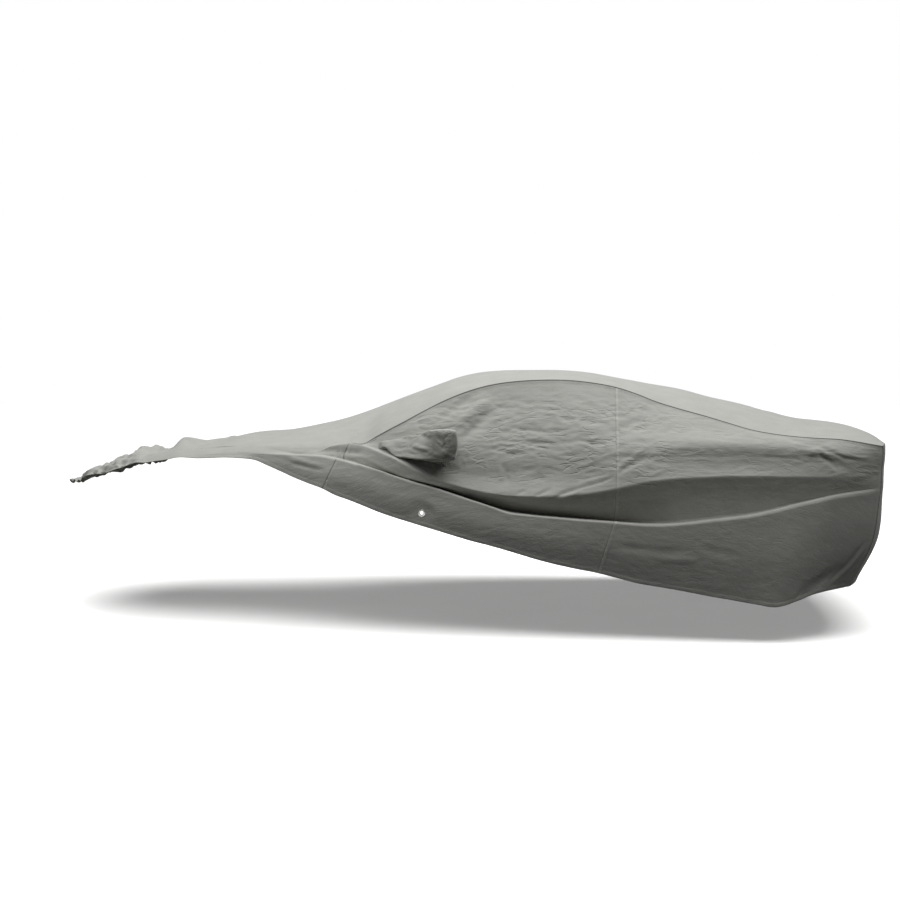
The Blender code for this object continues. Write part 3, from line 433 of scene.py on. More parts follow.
TOP_CREASES = [
    (-5, 14, (1.203, -0.575), (1.288, -0.618), (1.385, -0.624), (1.533, -0.673)),
    (-3, 13, (0.887, -0.555), (1.00, -0.57), (1.127, -0.588)),
    (-3, 12, (-1.712, -0.60), (-1.55, -0.60), (-1.419, -0.61)),
    (-4, 14, (-1.713, -0.503), (-1.68, -0.57), (-1.655, -0.60)),
    (4, 60, (-1.50, -0.20), (-1.25, -0.33), (-0.98, -0.52)),
    (-3, 20, (-0.70, -0.42), (-0.50, -0.38)),
    (-4, 30, (-0.62, -0.15), (-0.45, 0.02), (-0.40, 0.22)),
    (3, 24, (0.95, -0.30), (1.18, -0.20), (1.30, 0.02)),
    (-3, 18, (1.30, 0.15), (1.45, 0.30), (1.55, 0.48)),
    (-4, 15, (1.18, 0.58), (1.30, 0.62), (1.45, 0.635)),
    (-3, 14, (0.60, 0.46), (0.85, 0.50)),
    (3, 30, (0.05, 0.05), (0.35, 0.12), (0.62, 0.10)),
    (-12, 30, (-2.30, -0.40), (-2.19, -0.50)),
    (-14, 34, (-2.19, -0.58), (-2.11, -0.48), (-2.09, -0.33), (-2.14, -0.15)),
    (-14, 30, (-2.085, -0.59), (-2.06, -0.42), (-2.10, -0.20), (-2.07, 0.02)),
    (10, 26, (-2.05, -0.58), (-2.02, -0.42), (-2.04, -0.25)),
    (-13, 30, (-1.99, -0.60), (-1.93, -0.62), (-1.89, -0.60)),
    (9, 30, (-2.13, -0.12), (-2.05, -0.28), (-1.96, -0.42)),
    (-8, 28, (-1.98, -0.30), (-1.96, -0.05), (-1.99, 0.18)),
    (-12, 30, (-2.36, -0.25), (-2.28, -0.12), (-2.26, 0.10), (-2.30, 0.30)),
    (10, 28, (-2.42, -0.10), (-2.38, 0.08), (-2.40, 0.26)),
    (-10, 26, (-2.44, 0.30), (-2.33, 0.42), (-2.22, 0.50)),
    (-14, 32, (-2.18, 0.55), (-2.12, 0.40), (-2.14, 0.22)),
    (11, 28, (-2.08, 0.56), (-2.02, 0.40), (-2.05, 0.22)),
    (-10, 30, (-1.97, 0.60), (-1.93, 0.45), (-1.95, 0.30)),
    (6, 34, (-1.78, 0.52), (-1.70, 0.40), (-1.66, 0.25)),
    (-5, 30, (-1.70, 0.58), (-1.62, 0.48), (-1.58, 0.34)),
]


def crease_height(places, creases):
    """The height of all the creases of one list at each place, in metres."""
    height = np.zeros(places.shape[:-1])
    for lift, half_width, *line in creases:
        corners = np.array(line)
        lengths = np.linalg.norm(np.diff(corners, axis=0), axis=1)
        so_far = np.concatenate([[0], np.cumsum(lengths)]) / lengths.sum()
        nearest = np.full(height.shape, np.inf)
        share = np.zeros(height.shape)
        for k, (start, end) in enumerate(zip(corners, corners[1:])):
            t = np.clip((places - start) @ (end - start) / lengths[k] ** 2, 0, 1)
            away = np.linalg.norm(places - start - t[..., None] * (end - start), axis=-1)
            share = np.where(away < nearest, so_far[k] + t * (so_far[k + 1] - so_far[k]), share)
            nearest = np.minimum(away, nearest)
        across = np.clip(1 - (nearest * 1000 / half_width) ** 2, 0, 1) ** 2
        to_end = np.minimum(share, 1 - share)
        height += lift / 1000 * across * np.minimum(1, to_end / CREASE_ENDS + CREASE_END_HEIGHT)
    return height


def wrinkles(points, size, seed):
    """Smooth noise over the cloth, between -1 and 1, of one size along, across and upwards."""
    scaled = (points / size + seed).reshape(-1, 3)
    return np.array([noise.noise(Vector(place)) for place in scaled]).reshape(points.shape[:-1])


def ridges(points, size, seed, sharpness):
    """Wrinkles with sharp crests: 1 along a crest and less than 0 between them."""
    return 1 - sharpness * abs(wrinkles(points, size, seed))


def thin_creases(points, size, seed, width):
    """A net of thin creases, which come and go: 1 on a crease and 0 away from it."""
    line = np.exp(-((wrinkles(points, size, seed) / width) ** 2))
    return line * ease(-0.05, 0.25, wrinkles(points, 2.5 * size, seed + 7.1))


# The sizes of the wrinkles that aren't placed one by one, along, across and upwards, and where
# they are: over the sides, most on their upper part, and bunched up in the front folds. A pair of
# places is where something starts and where it is full, or where it starts to fade and is gone.
FINE_WRINKLES = np.array([0.085, 0.10, 0.030])
LONG_WRINKLES = np.array([0.30, 0.25, 0.11])
BUNCHED_WRINKLES = np.array([0.048, 0.09, 0.05])
FLAT_NET = np.array([0.11, 0.12, 0.034])
UPRIGHT_NET = np.array([0.045, 0.12, 0.07])
BELOW_SEAM = (0.0, 0.03)
TOP_FADE = (0.0, 0.06)
UPPER_HIGH, UPPER_HIGH_END = (0.70, 0.80), (1.08, 1.18)
UPPER_ALONG = (-0.75, -0.45)
UPPER_CALM, UPPER_CALM_ALONG = 0.65, (0.50, 0.75)
BUNCHED_END = (-2.16, -1.84)
AT_HEM = (0.0, 0.03)


def creased(points, below, to_hem, side_creases, top_creases=()):
    """How far each point of the cloth stands out for its creases and wrinkles."""
    along, high = points[..., 0], points[..., 2] + CROWN_HIGH
    from_side = points[..., [0, 2]] + (0, CROWN_HIGH)
    left, right = (crease_height(from_side, side_creases[side]) for side in (-1, 1))
    on_side = ease(*BELOW_SEAM, below)
    height = on_side * np.where(points[..., 1] < 0, left, right)
    height += (1 - ease(*TOP_FADE, below)) * crease_height(points[..., :2], top_creases)
    upper = on_side * ease(*UPPER_HIGH, high) * (1 - ease(*UPPER_HIGH_END, high))
    upper *= ease(*UPPER_ALONG, along) * (1 - UPPER_CALM * ease(*UPPER_CALM_ALONG, along))
    fine = 0.0016 * upper + 0.0004 * on_side * (1 - upper)
    height += fine * ridges(points, FINE_WRINKLES, 3.7, 4)
    height += (0.0015 * upper + 0.0013) * wrinkles(points, LONG_WRINKLES, 11.3)
    height -= (0.0022 * upper + 0.0005 * on_side) * thin_creases(points, FLAT_NET, 71.3, 0.07)
    height += 0.0016 * upper * thin_creases(points, 0.7 * FLAT_NET, 83.9, 0.08)
    height -= 0.0012 * upper * thin_creases(points, UPRIGHT_NET, 95.5, 0.07)
    front = (1 - ease(*BUNCHED_END, along)) * ease(*AT_HEM, to_hem)
    height += 0.014 * front * ridges(points, BUNCHED_WRINKLES, 21.9, 3.2)
    height -= 0.009 * front * thin_creases(points, 1.6 * BUNCHED_WRINKLES, 27.3, 0.12)
    return height


GROOVE_DEPTH = 0.0016
LAP_HEIGHT = 0.0009  # how proud the doubled cloth of a seam or a hem is
HEM_FLARE, HEM_FLARE_FROM = 0.001, 0.022  # how far the hem stands out, and from how far above it
UPPER_SEAM_PAINTED_SHADE = {"painted_groove_shade": 0.15, "width": 0.009}  # the upper seam's painted groove shade is wider and darker
HEM_PAINTED_HIGHLIGHT, HEM_PAINTED_HIGHLIGHT_EDGE = 0.02, (0.0150, 0.0175)  # the painted highlight on the doubled hem, and where it fades out


def seam_groove(away, depth=GROOVE_DEPTH):
    """How deep the groove of a seam is at each distance from it."""
    return depth * (1 - ease(0, GROOVE_WIDTH, away))


def felled_seam(away, depth=GROOVE_DEPTH):
    """A felled seam: a narrow groove, then a flat band where the cloth is doubled."""
    band = ease(0.001, GROOVE_WIDTH, away) * (1 - ease(*SEAM_BAND, away))
    return LAP_HEIGHT * band - seam_groove(away, depth)


def hem_fold(to_hem):
    """A hem is turned up once and stitched, so it is proud of the cloth, and it stands out a little."""
    doubled = 1 - ease(*HEM_EDGE, to_hem)
    return LAP_HEIGHT * doubled + HEM_FLARE * (1 - ease(0.0, HEM_FLARE_FROM, to_hem)) ** 2


def painted_seam_shading(away, painted_groove_shade=0.45, band=1.08, width=0.004):
    """Painted shade in the groove of a seam, and a painted highlight on its raised doubled band."""
    doubled = ease(width, width + 0.002, away) * (1 - ease(*SEAM_BAND, away))
    return 1 + (band - 1) * doubled - (1 - painted_groove_shade) * (1 - ease(0.4 * width, width, away))


def hem_painted_highlight(to_hem):
    """The painted highlight on the doubled cloth of a hem."""
    return HEM_PAINTED_HIGHLIGHT * (1 - ease(*HEM_PAINTED_HIGHLIGHT_EDGE, to_hem))


def facing(points):
    """The way that the cloth faces at each point of a grid."""
    outward = np.cross(np.gradient(points, axis=0), np.gradient(points, axis=1))
    return outward / np.linalg.norm(outward, axis=-1, keepdims=True)


# The cloth is matt, warm light grey, with a faint cloudiness where its fibres lie thicker, and it
# is bonded in small points. Its colour is multiplied by painted shading: painted shade in the
# grooves of seams and along the pockets' seams, and painted highlights on seams' doubled bands
# and on hems.
CLOTH_LIGHT = (0.475, 0.475, 0.447, 1.0)
CLOTH_DARK = (0.400, 0.400, 0.374, 1.0)
CLOTH_THICKNESS = 0.0018


def new_material(name, values):
    """A material with these values on its shader. Returns it, its tree of nodes and its shader."""
    material = bpy.data.materials.new(name)
    material.use_nodes = True
    shader = material.node_tree.nodes["Principled BSDF"]
    for socket, value in values.items():
        shader.inputs[socket].default_value = value
    return material, material.node_tree, shader


def add_node(tree, kind, sockets=(), **settings):
    """Adds a node, with the values of its sockets and its own settings."""
    node = tree.nodes.new(kind)
    for name, value in settings.items():
        setattr(node, name, value)
    for name, value in dict(sockets).items():
        node.inputs[name].default_value = value
    return node


def stretched(tree, place, along, across):
    """The places scaled, so that what is read there is drawn out one way."""
    mapping = add_node(tree, "ShaderNodeMapping", {"Scale": (along, across, 1.0)})
    tree.links.new(place, mapping.inputs["Vector"])
    return mapping.outputs["Vector"]


def noise_at(tree, place, scale, detail, roughness=0.5):
    """A noise read at each place."""
    sockets = {"Scale": scale, "Detail": detail, "Roughness": roughness}
    texture = add_node(tree, "ShaderNodeTexNoise", sockets)
    tree.links.new(place, texture.inputs["Vector"])
    return texture.outputs["Fac"]


def tinted(tree, value, dark, light, start=0.0, end=1.0):
    """The colour from dark to light, as a value goes from start to end."""
    ramp = add_node(tree, "ShaderNodeValToRGB")
    for element, position, colour in zip(ramp.color_ramp.elements, (start, end), (dark, light)):
        element.position, element.color = position, colour
    tree.links.new(value, ramp.inputs["Fac"])
    return ramp.outputs["Color"]


def worked_out(tree, operation, *values):
    """The result of a sum, whose values are numbers or what other nodes give."""
    node = add_node(tree, "ShaderNodeMath", operation=operation)
    for socket, value in zip(node.inputs, values):
        if isinstance(value, float):
            socket.default_value = value
        else:
            tree.links.new(value, socket)
    return node.outputs[0]


def add_bumps(tree, shader, *bumps):
    """Bumps on the shader, from coarse to fine, each as (height, strength, distance)."""
    normal = None
    for height, strength, distance in bumps:
        bump = add_node(tree, "ShaderNodeBump", {"Strength": strength, "Distance": distance})
        tree.links.new(height, bump.inputs["Height"])
        if normal is not None:
            tree.links.new(normal, bump.inputs["Normal"])
        normal = bump.outputs["Normal"]
    tree.links.new(normal, shader.inputs["Normal"])


cloth, tree, shader = new_material(
    "spun_cloth",
    {"Roughness": 0.92, "Specular IOR Level": 0.18, "Sheen Weight": 0.10, "Sheen Roughness": 0.6},
)
link = tree.links.new
flat_place = add_node(tree, "ShaderNodeTexCoord").outputs["UV"]
clouds = noise_at(tree, flat_place, 9.0, 5.0, 0.62)
fibres = noise_at(tree, stretched(tree, flat_place, 0.6, 2.0), 260.0, 3.0, 0.7)
mixed = add_node(tree, "ShaderNodeMix", {"Factor": 0.35}, data_type="FLOAT")
link(clouds, mixed.inputs[2])
link(fibres, mixed.inputs[3])
tone = tinted(tree, mixed.outputs[0], CLOTH_DARK, CLOTH_LIGHT, 0.30, 0.70)
# Painted shading: the tone is multiplied per point by painted shade and painted highlights
painted_shading = add_node(tree, "ShaderNodeAttribute", attribute_name="painted_shading")
with_painted_shading = add_node(tree, "ShaderNodeMix", {"Factor": 1.0}, data_type="RGBA", blend_type="MULTIPLY")
link(tone, with_painted_shading.inputs[6])
link(painted_shading.outputs["Color"], with_painted_shading.inputs[7])
link(with_painted_shading.outputs[2], shader.inputs["Base Color"])
# Thin sharp creases, where a noise crosses its middle value, broken up by a second noise
thin_noise = noise_at(tree, stretched(tree, flat_place, 9.0, 30.0), 1.0, 1.5)
line_depth = add_node(
    tree, "ShaderNodeMapRange", {"From Max": 0.06, "To Min": -1.0, "To Max": 0.0},
    interpolation_type="SMOOTHSTEP",
)  # fmt: skip
broken = add_node(tree, "ShaderNodeMapRange", {"From Min": 0.46, "From Max": 0.60})
crumple_share = add_node(tree, "ShaderNodeAttribute", attribute_name="crumpled")
off_middle = worked_out(tree, "SUBTRACT", thin_noise, 0.5)
link(worked_out(tree, "ABSOLUTE", off_middle), line_depth.inputs["Value"])
link(noise_at(tree, flat_place, 11.0, 1.0), broken.inputs["Value"])
thin_share = worked_out(tree, "MULTIPLY", broken.outputs["Result"], crumple_share.outputs["Fac"])
thin_height = worked_out(tree, "MULTIPLY", line_depth.outputs["Result"], thin_share)
# Wrinkles and crumples too small for the mesh, the thin creases, the bonded points and the fibres
small_wrinkles = noise_at(tree, stretched(tree, flat_place, 14.0, 34.0), 1.0, 4.0, 0.55)
crumples = noise_at(tree, stretched(tree, flat_place, 55.0, 150.0), 1.0, 3.0, 0.6)
bonds = add_node(tree, "ShaderNodeTexVoronoi", {"Scale": 420.0, "Randomness": 0.35})
link(flat_place, bonds.inputs["Vector"])
add_bumps(
    tree, shader,
    (small_wrinkles, 0.35, 0.006), (crumples, 0.5, 0.0018), (thin_height, 1.0, 0.0020),
    (bonds.outputs["Distance"], 0.25, 0.0006), (fibres, 0.20, 0.0005),
)  # fmt: skip

CRUMPLED_HIGH, CRUMPLED_HIGH_END = (0.70, 0.78), (1.05, 1.17)
CRUMPLED_ALONG = (-0.55, -0.30)
CRUMPLED_CALM, CRUMPLED_CALM_ALONG = 0.8, (0.52, 0.85)
CRUMPLED_OUT = (0.60, 0.68)
LEAST_CRUMPLED = 0.15


def crumpled(corners):
    """How far the cloth is crumpled at each point: most high on its sides, and in the front folds."""
    along, out, high = corners[:, 0], abs(corners[:, 1]), corners[:, 2] + CROWN_HIGH
    high_on_side = ease(*CRUMPLED_HIGH, high) * (1 - ease(*CRUMPLED_HIGH_END, high))
    high_on_side *= ease(*CRUMPLED_ALONG, along) * (1 - CRUMPLED_CALM * ease(*CRUMPLED_CALM_ALONG, along))
    on_side = (LEAST_CRUMPLED + (1 - LEAST_CRUMPLED) * high_on_side) * ease(*CRUMPLED_OUT, out)
    return np.maximum(on_side, 1 - ease(*BUNCHED_END, along))


def make_sheet(name, corners, faces, flat_places, painted_shading_values, outward=1):
    """A sheet of cloth through the points, thickened to one side."""
    mesh = bpy.data.meshes.new(name)
    mesh.from_pydata(corners.tolist(), [], [face for block in faces for face in block.tolist()])
    uv = flat_places[np.concatenate([block.ravel() for block in faces])].astype(np.float32)
    mesh.uv_layers.new(name="flat").data.foreach_set("uv", uv.ravel())
    for attribute, values in (("painted_shading", painted_shading_values), ("crumpled", crumpled(corners))):
        layer = mesh.attributes.new(attribute, "FLOAT", "POINT")
        layer.data.foreach_set("value", values.astype(np.float32))
    mesh.shade_smooth()
    mesh.materials.append(cloth)
    sheet = bpy.data.objects.new(name, mesh)
    bpy.context.scene.collection.objects.link(sheet)
    thick = sheet.modifiers.new("Thickness", "SOLIDIFY")
    thick.thickness = CLOTH_THICKNESS
    thick.offset = outward
    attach(sheet, "root")
    return sheet


def corners_of(cells):
    """The four corners of the chosen cells of a grid, each as (cuts, rows)."""
    cut, row = np.nonzero(cells)
    return (cut, row), (cut + 1, row), (cut + 1, row + 1), (cut, row + 1)


def sew(name, points, cells, painted_shading_values):
    """A panel of cloth over the chosen cells of a grid of points."""
    used = np.zeros(points.shape[:2], bool)
    for corner in corners_of(cells):
        used[corner] = True
    number = np.full(points.shape[:2], -1)
    number[used] = np.arange(used.sum())
    faces = np.stack([number[corner] for corner in corners_of(cells)], axis=1)
    middle = points.shape[1] // 2
    lengthwise = run_along(points[:, middle])
    across = np.cumsum(np.linalg.norm(np.diff(points, axis=1, prepend=points[:, :1]), axis=2), axis=1)
    across -= across[:, middle : middle + 1]
    flat_places = np.stack([np.broadcast_to(lengthwise[:, None], across.shape), across], axis=-1)
    return make_sheet(name, points[used], [faces], flat_places[used], painted_shading_values[used])


def cuts_between(start, end, step, fold_at_start, fold_at_end):
    """Places from one cut to another, in even steps, with those of a seam's fold at its ends."""
    first = start + SEAM_STEPS if fold_at_start else np.array([start])
    last = end - SEAM_STEPS[::-1] if fold_at_end else np.array([end])
    steps = max(1, round((last[0] - first[-1]) / step))
    return np.concatenate([first[:-1], np.linspace(first[-1], last[0], steps + 1), last[1:]])


def rows_from_middle(points):
    """How many rows each row of cells lies from the middle line, less than 0 on the left."""
    return np.arange(points.shape[1] - 1) + 0.5 - points.shape[1] // 2


FRONT_CUTS = 58
FOLDS_END = -1.86
FINE_START = -0.96
SAME_CUT = 1e-6
ELSEWHERE = 1.0  # a distance for the points that a seam or a hole is nowhere near
CORNER_FADE = (0.0, 0.04)  # the creases fade towards the seam at a rear corner
top_cuts = np.concatenate([
    FRONT_ALONG + HEM_STEPS[::-1],
    np.linspace(FRONT_ALONG + HEM_STEPS[0], FOLDS_END, FRONT_CUTS)[1:-1],
    cuts_between(FOLDS_END, FINE_START, 0.017, False, False)[:-1],
    cuts_between(FINE_START, FRONT_SEAM_ALONG, 0.0085, False, True)[:-1],
    cuts_between(FRONT_SEAM_ALONG, CORNER_ALONG, 0.0155, True, True),
])  # fmt: skip
points, below, to_hem = cover_grid(top_cuts)
height = creased(points, below, to_hem, FRONT_CREASES, TOP_CREASES)
to_corner = (CORNER_ALONG - top_cuts)[:, None]
height *= ease(*CORNER_FADE, to_corner)
behind_seam = (top_cuts > FRONT_SEAM_ALONG - SAME_CUT)[:, None]
to_upper_seam = np.where(behind_seam & (below <= 0), -below, ELSEWHERE)
ahead_of_seam = FRONT_SEAM_ALONG - top_cuts[:, None]
to_front_seam = np.where((below > 0) & (ahead_of_seam > -SAME_CUT), ahead_of_seam, ELSEWHERE)
height -= seam_groove(np.minimum(to_upper_seam, to_front_seam))
to_edge = np.minimum(to_hem, (top_cuts - FRONT_ALONG)[:, None])
height += hem_fold(to_edge)
points += facing(points) * height[..., None]
# Painted shade in the grooves of the seams, and a painted highlight on the hem
painted_shading_values = painted_seam_shading(to_upper_seam, band=1.0, **UPPER_SEAM_PAINTED_SHADE) * painted_seam_shading(to_front_seam, band=1.0)
painted_shading_values *= painted_seam_shading(np.where(below <= 0, to_corner, ELSEWHERE), band=1.0)
painted_shading_values += hem_painted_highlight(to_edge)
cells = np.ones((len(top_cuts) - 1, points.shape[1] - 1), bool)
cells[top_cuts[:-1] > FRONT_SEAM_ALONG - SAME_CUT] = abs(rows_from_middle(points)) < TOP_LENGTH
top_cloth = sew("top_cloth", points, cells, painted_shading_values)
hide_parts("top_panel")

# Lines of stitching, as the points on the outer face and the way the cloth faces there
stitch_lines = []


def stitch(points, lines):
    """Adds stitching along lines of a grid of points, each line given as (cuts, rows)."""
    outward = facing(points)
    for line in lines:
        stitch_lines.append((points[line] + outward[line] * CLOTH_THICKNESS, outward[line]))


front = slice(2, int(np.argmin(abs(top_cuts - FRONT_SEAM_ALONG))))
stitch(points, [(front, 2), (front, -3), (2, slice(2, -2))])

# The door panels: one to each side, from the front seam to the seam at mid length, of the same
# cloth. Each is sewn to the top with a felled seam, has an opening that the side pocket is sewn
# round, and an eyelet set in its lower flap. Its hem is turned up once and stitched.
DOOR_STEP = 0.0075
DOOR_FINENESS = 1.7
MID_SEAM_PAINTED_SHADE = {"painted_groove_shade": 0.85, "width": 0.002}  # the mid seam's painted groove shade is narrower, and hardly darker
EYELET_PLACE = np.array((-0.484, 0.9262, -0.666))  # of the right one; the left one is opposite
EYELET_FACING = np.array((-0.0766, 0.9941, 0.0767))
HOLE_RADIUS = 0.0098
FLAT_ROUND_EYELET = (0.030, 0.075)
CALM_ROUND_EYELET = (0.02, 0.07)
POCKET_ALONG = (-0.705, -0.385)
POCKET_LINES = (2, 3.8)  # the lines between which the opening for the side pocket lies
DOOR_CREASES = {
    -1: [
        (6, 34, (-0.345, 0.975), (-0.275, 1.045), (-0.19, 1.115)),
        (-7, 30, (-0.325, 0.915), (-0.25, 0.99), (-0.165, 1.075)),
        (-6, 28, (-0.43, 1.02), (-0.36, 1.07), (-0.27, 1.135)),
        (-5, 14, (-0.105, 0.822), (-0.09, 0.775), (-0.082, 0.728)),
        (3, 16, (-0.128, 0.815), (-0.118, 0.77), (-0.108, 0.735)),
        (-3.5, 15, (-0.06, 0.985), (0.023, 0.972), (0.124, 0.959)),
        (-2.5, 12, (0.157, 1.023), (0.24, 1.026), (0.351, 1.017)),
        (-3.5, 13, (0.288, 0.922), (0.335, 0.905), (0.383, 0.908)),
        (2.5, 12, (0.29, 0.945), (0.35, 0.935)),
        (-9, 24, (-0.95, 0.872), (-0.88, 0.866), (-0.79, 0.862)),
        (-3, 20, (-0.02, 0.905), (0.10, 0.915), (0.20, 0.900)),
        (3, 18, (0.02, 0.935), (0.15, 0.930)),
        (-3, 16, (-0.15, 0.88), (-0.06, 0.865), (0.03, 0.872)),
        (-2.5, 16, (0.12, 0.84), (0.22, 0.83), (0.31, 0.845)),
        (-4, 7, (-0.852, 0.893), (-0.866, 0.845)),
        (-3, 7, (-0.869, 0.832), (-0.83, 0.822), (-0.799, 0.808)),
        (-3.5, 10, (0.225, 0.700), (0.294, 0.722), (0.362, 0.740), (0.429, 0.772)),
        (1.5, 12, (0.230, 0.720), (0.294, 0.742), (0.362, 0.762), (0.42, 0.795)),
        (-7, 13, (0.135, 0.662), (0.185, 0.688), (0.240, 0.706)),
        (5, 13, (0.160, 0.650), (0.215, 0.678), (0.270, 0.698)),
        (-5, 13, (0.045, 0.668), (0.090, 0.690), (0.130, 0.706)),
        (-3.5, 12, (-0.040, 0.680), (0.010, 0.700)),
        (-5, 14, (-0.162, 0.668), (-0.10, 0.675), (-0.012, 0.668)),
        (-3.5, 9, (-0.050, 0.968), (0.007, 0.978), (0.069, 0.974)),
        (-4, 9, (-0.030, 0.917), (0.047, 0.900), (0.114, 0.886)),
        (3, 8, (-0.020, 0.903), (0.055, 0.887)),
        (-4, 8, (0.236, 0.928), (0.293, 0.924), (0.336, 0.910), (0.383, 0.919), (0.411, 0.929)),
        (3, 8, (0.25, 0.914), (0.33, 0.897)),
        (-3.5, 9, (0.261, 0.748), (0.331, 0.763), (0.401, 0.778)),
    ],
    1: [
        (6, 34, (-0.34, 0.96), (-0.27, 1.05), (-0.18, 1.12)),
        (-6, 30, (-0.30, 0.92), (-0.23, 0.99), (-0.15, 1.06)),
        (-4, 16, (-0.02, 0.80), (0.02, 0.75), (0.05, 0.71)),
        (-3.5, 15, (0.02, 0.99), (0.10, 0.97), (0.20, 0.975)),
        (-3, 13, (0.15, 0.90), (0.24, 0.885), (0.33, 0.90)),
        (-3, 28, (-0.20, 0.55), (0.05, 0.50)),
        (-8, 24, (-0.95, 0.872), (-0.88, 0.866), (-0.80, 0.862)),
        (-3, 18, (-0.10, 0.90), (0.02, 0.915), (0.12, 0.905)),
    ],
}


def eyelet_on(side):
    """The middle of the eyelet of one side and the way that it faces."""
    return EYELET_PLACE * (1, side, 1), EYELET_FACING * (1, side, 1)


def press_flat(points, side):
    """Presses the cloth flat round the eyelet. Returns each point's distance from its middle."""
    place, outward = eyelet_on(side)
    away = np.linalg.norm(points[..., [0, 2]] - place[[0, 2]], axis=-1)
    away = np.where(points[..., 1] * side > 0, away, ELSEWHERE)
    depth = (points - place) @ outward
    points -= outward * (depth * (1 - ease(*FLAT_ROUND_EYELET, away)))[..., None]
    return away


def stitch_panels(points, whole, cuts):
    """The stitching of a panel on each side: the hem, two rows below the upper seam, and the cuts."""
    middle = points.shape[1] // 2
    seam = middle + TOP_LENGTH
    rows = (2, -3, seam + 2, seam + 4, -seam - 3, -seam - 5)
    sides = (slice(4, middle - TOP_LENGTH - 4), slice(seam + 4, -4))
    stitch(points, [(whole, row) for row in rows] + [(cut, side) for cut in cuts for side in sides])


# Two cuts past a seam, so that the way the cloth faces is known up to the seam
margin = SEAM_STEPS[1:3]
door_cuts = np.concatenate([
    FRONT_SEAM_ALONG - margin[::-1],
    cuts_between(FRONT_SEAM_ALONG, MID_SEAM_ALONG, DOOR_STEP, True, True),
    MID_SEAM_ALONG + margin,
])  # fmt: skip
points, below, to_hem = cover_grid(door_cuts, DOOR_FINENESS)
to_eyelet = np.minimum(press_flat(points, -1), press_flat(points, 1))
height = creased(points, below, to_hem, DOOR_CREASES)
height *= ease(*CALM_ROUND_EYELET, to_eyelet)
after_front_seam = abs(door_cuts - FRONT_SEAM_ALONG)[:, None]
to_mid_seam = abs(MID_SEAM_ALONG - door_cuts)[:, None]
height += felled_seam(np.minimum(abs(below), after_front_seam))
height -= seam_groove(to_mid_seam)
height += hem_fold(to_hem)
points += facing(points) * height[..., None]
# Painted shade in the seams' grooves, painted highlights on their doubled bands and on the hem
painted_shading_values = painted_seam_shading(abs(below), **UPPER_SEAM_PAINTED_SHADE) * painted_seam_shading(after_front_seam)
painted_shading_values *= painted_seam_shading(to_mid_seam, band=1.0, **MID_SEAM_PAINTED_SHADE)
painted_shading_values += hem_painted_highlight(to_hem)
door_cells = np.zeros((len(door_cuts) - 1, points.shape[1] - 1), bool)
door_cells[len(margin) : -len(margin)] = True
first, last = (int(np.argmin(abs(door_cuts - along))) for along in POCKET_ALONG)
rows_to_lines = np.round(ROWS_TO_NEXT_LINE * DOOR_FINENESS).astype(int)
line_rows = np.cumsum([TOP_LENGTH + len(SEAM_STEPS) - 1, *rows_to_lines])
pocket_rows = np.interp(POCKET_LINES, range(len(line_rows)), line_rows).round().astype(int)
SIDES = ((-1, "left"), (1, "right"))
pocket_rings = {}
for side, word in SIDES:
    low, high = sorted(points.shape[1] // 2 + side * pocket_rows)
    cells = door_cells & (rows_from_middle(points) * side > TOP_LENGTH)
    cells[first:last, low:high] = False
    # The hole for the eyelet: the cells over it go, and the points round it move out to its edge
    place, outward = eyelet_on(side)
    from_middle = points - place
    from_middle -= (from_middle @ outward)[..., None] * outward
    radius = np.linalg.norm(from_middle, axis=-1)
    radius = np.where(points[..., 1] * side > 0, radius, ELSEWHERE)
    cell_radius = (radius[:-1, :-1] + radius[1:, :-1] + radius[:-1, 1:] + radius[1:, 1:]) / 4
    over_hole = cell_radius < HOLE_RADIUS
    round_hole = np.zeros(points.shape[:2], bool)
    for corner in corners_of(over_hole):
        round_hole[corner] = True
    further = HOLE_RADIUS / np.maximum(radius[round_hole], 0.001) - 1
    points[round_hole] += from_middle[round_hole] * further[:, None]
    door = sew(f"door_cloth_{word}", points, cells & ~over_hole, painted_shading_values)
    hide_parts(f"door_panel_{word}", f"hem_strip_{word}")
    ring = [(cut, low) for cut in range(first, last)] + [(last, row) for row in range(low, high)]
    ring += [(cut, high) for cut in range(last, first, -1)] + [(first, row) for row in range(high, low, -1)]
    pocket_rings[side] = tuple(np.array(ring).T)
door_points, door_outward = points, facing(points)
second = len(margin) + 2  # the cut of the first row of stitching along a seam
stitch_panels(points, slice(second, -second), (second, second + 2))

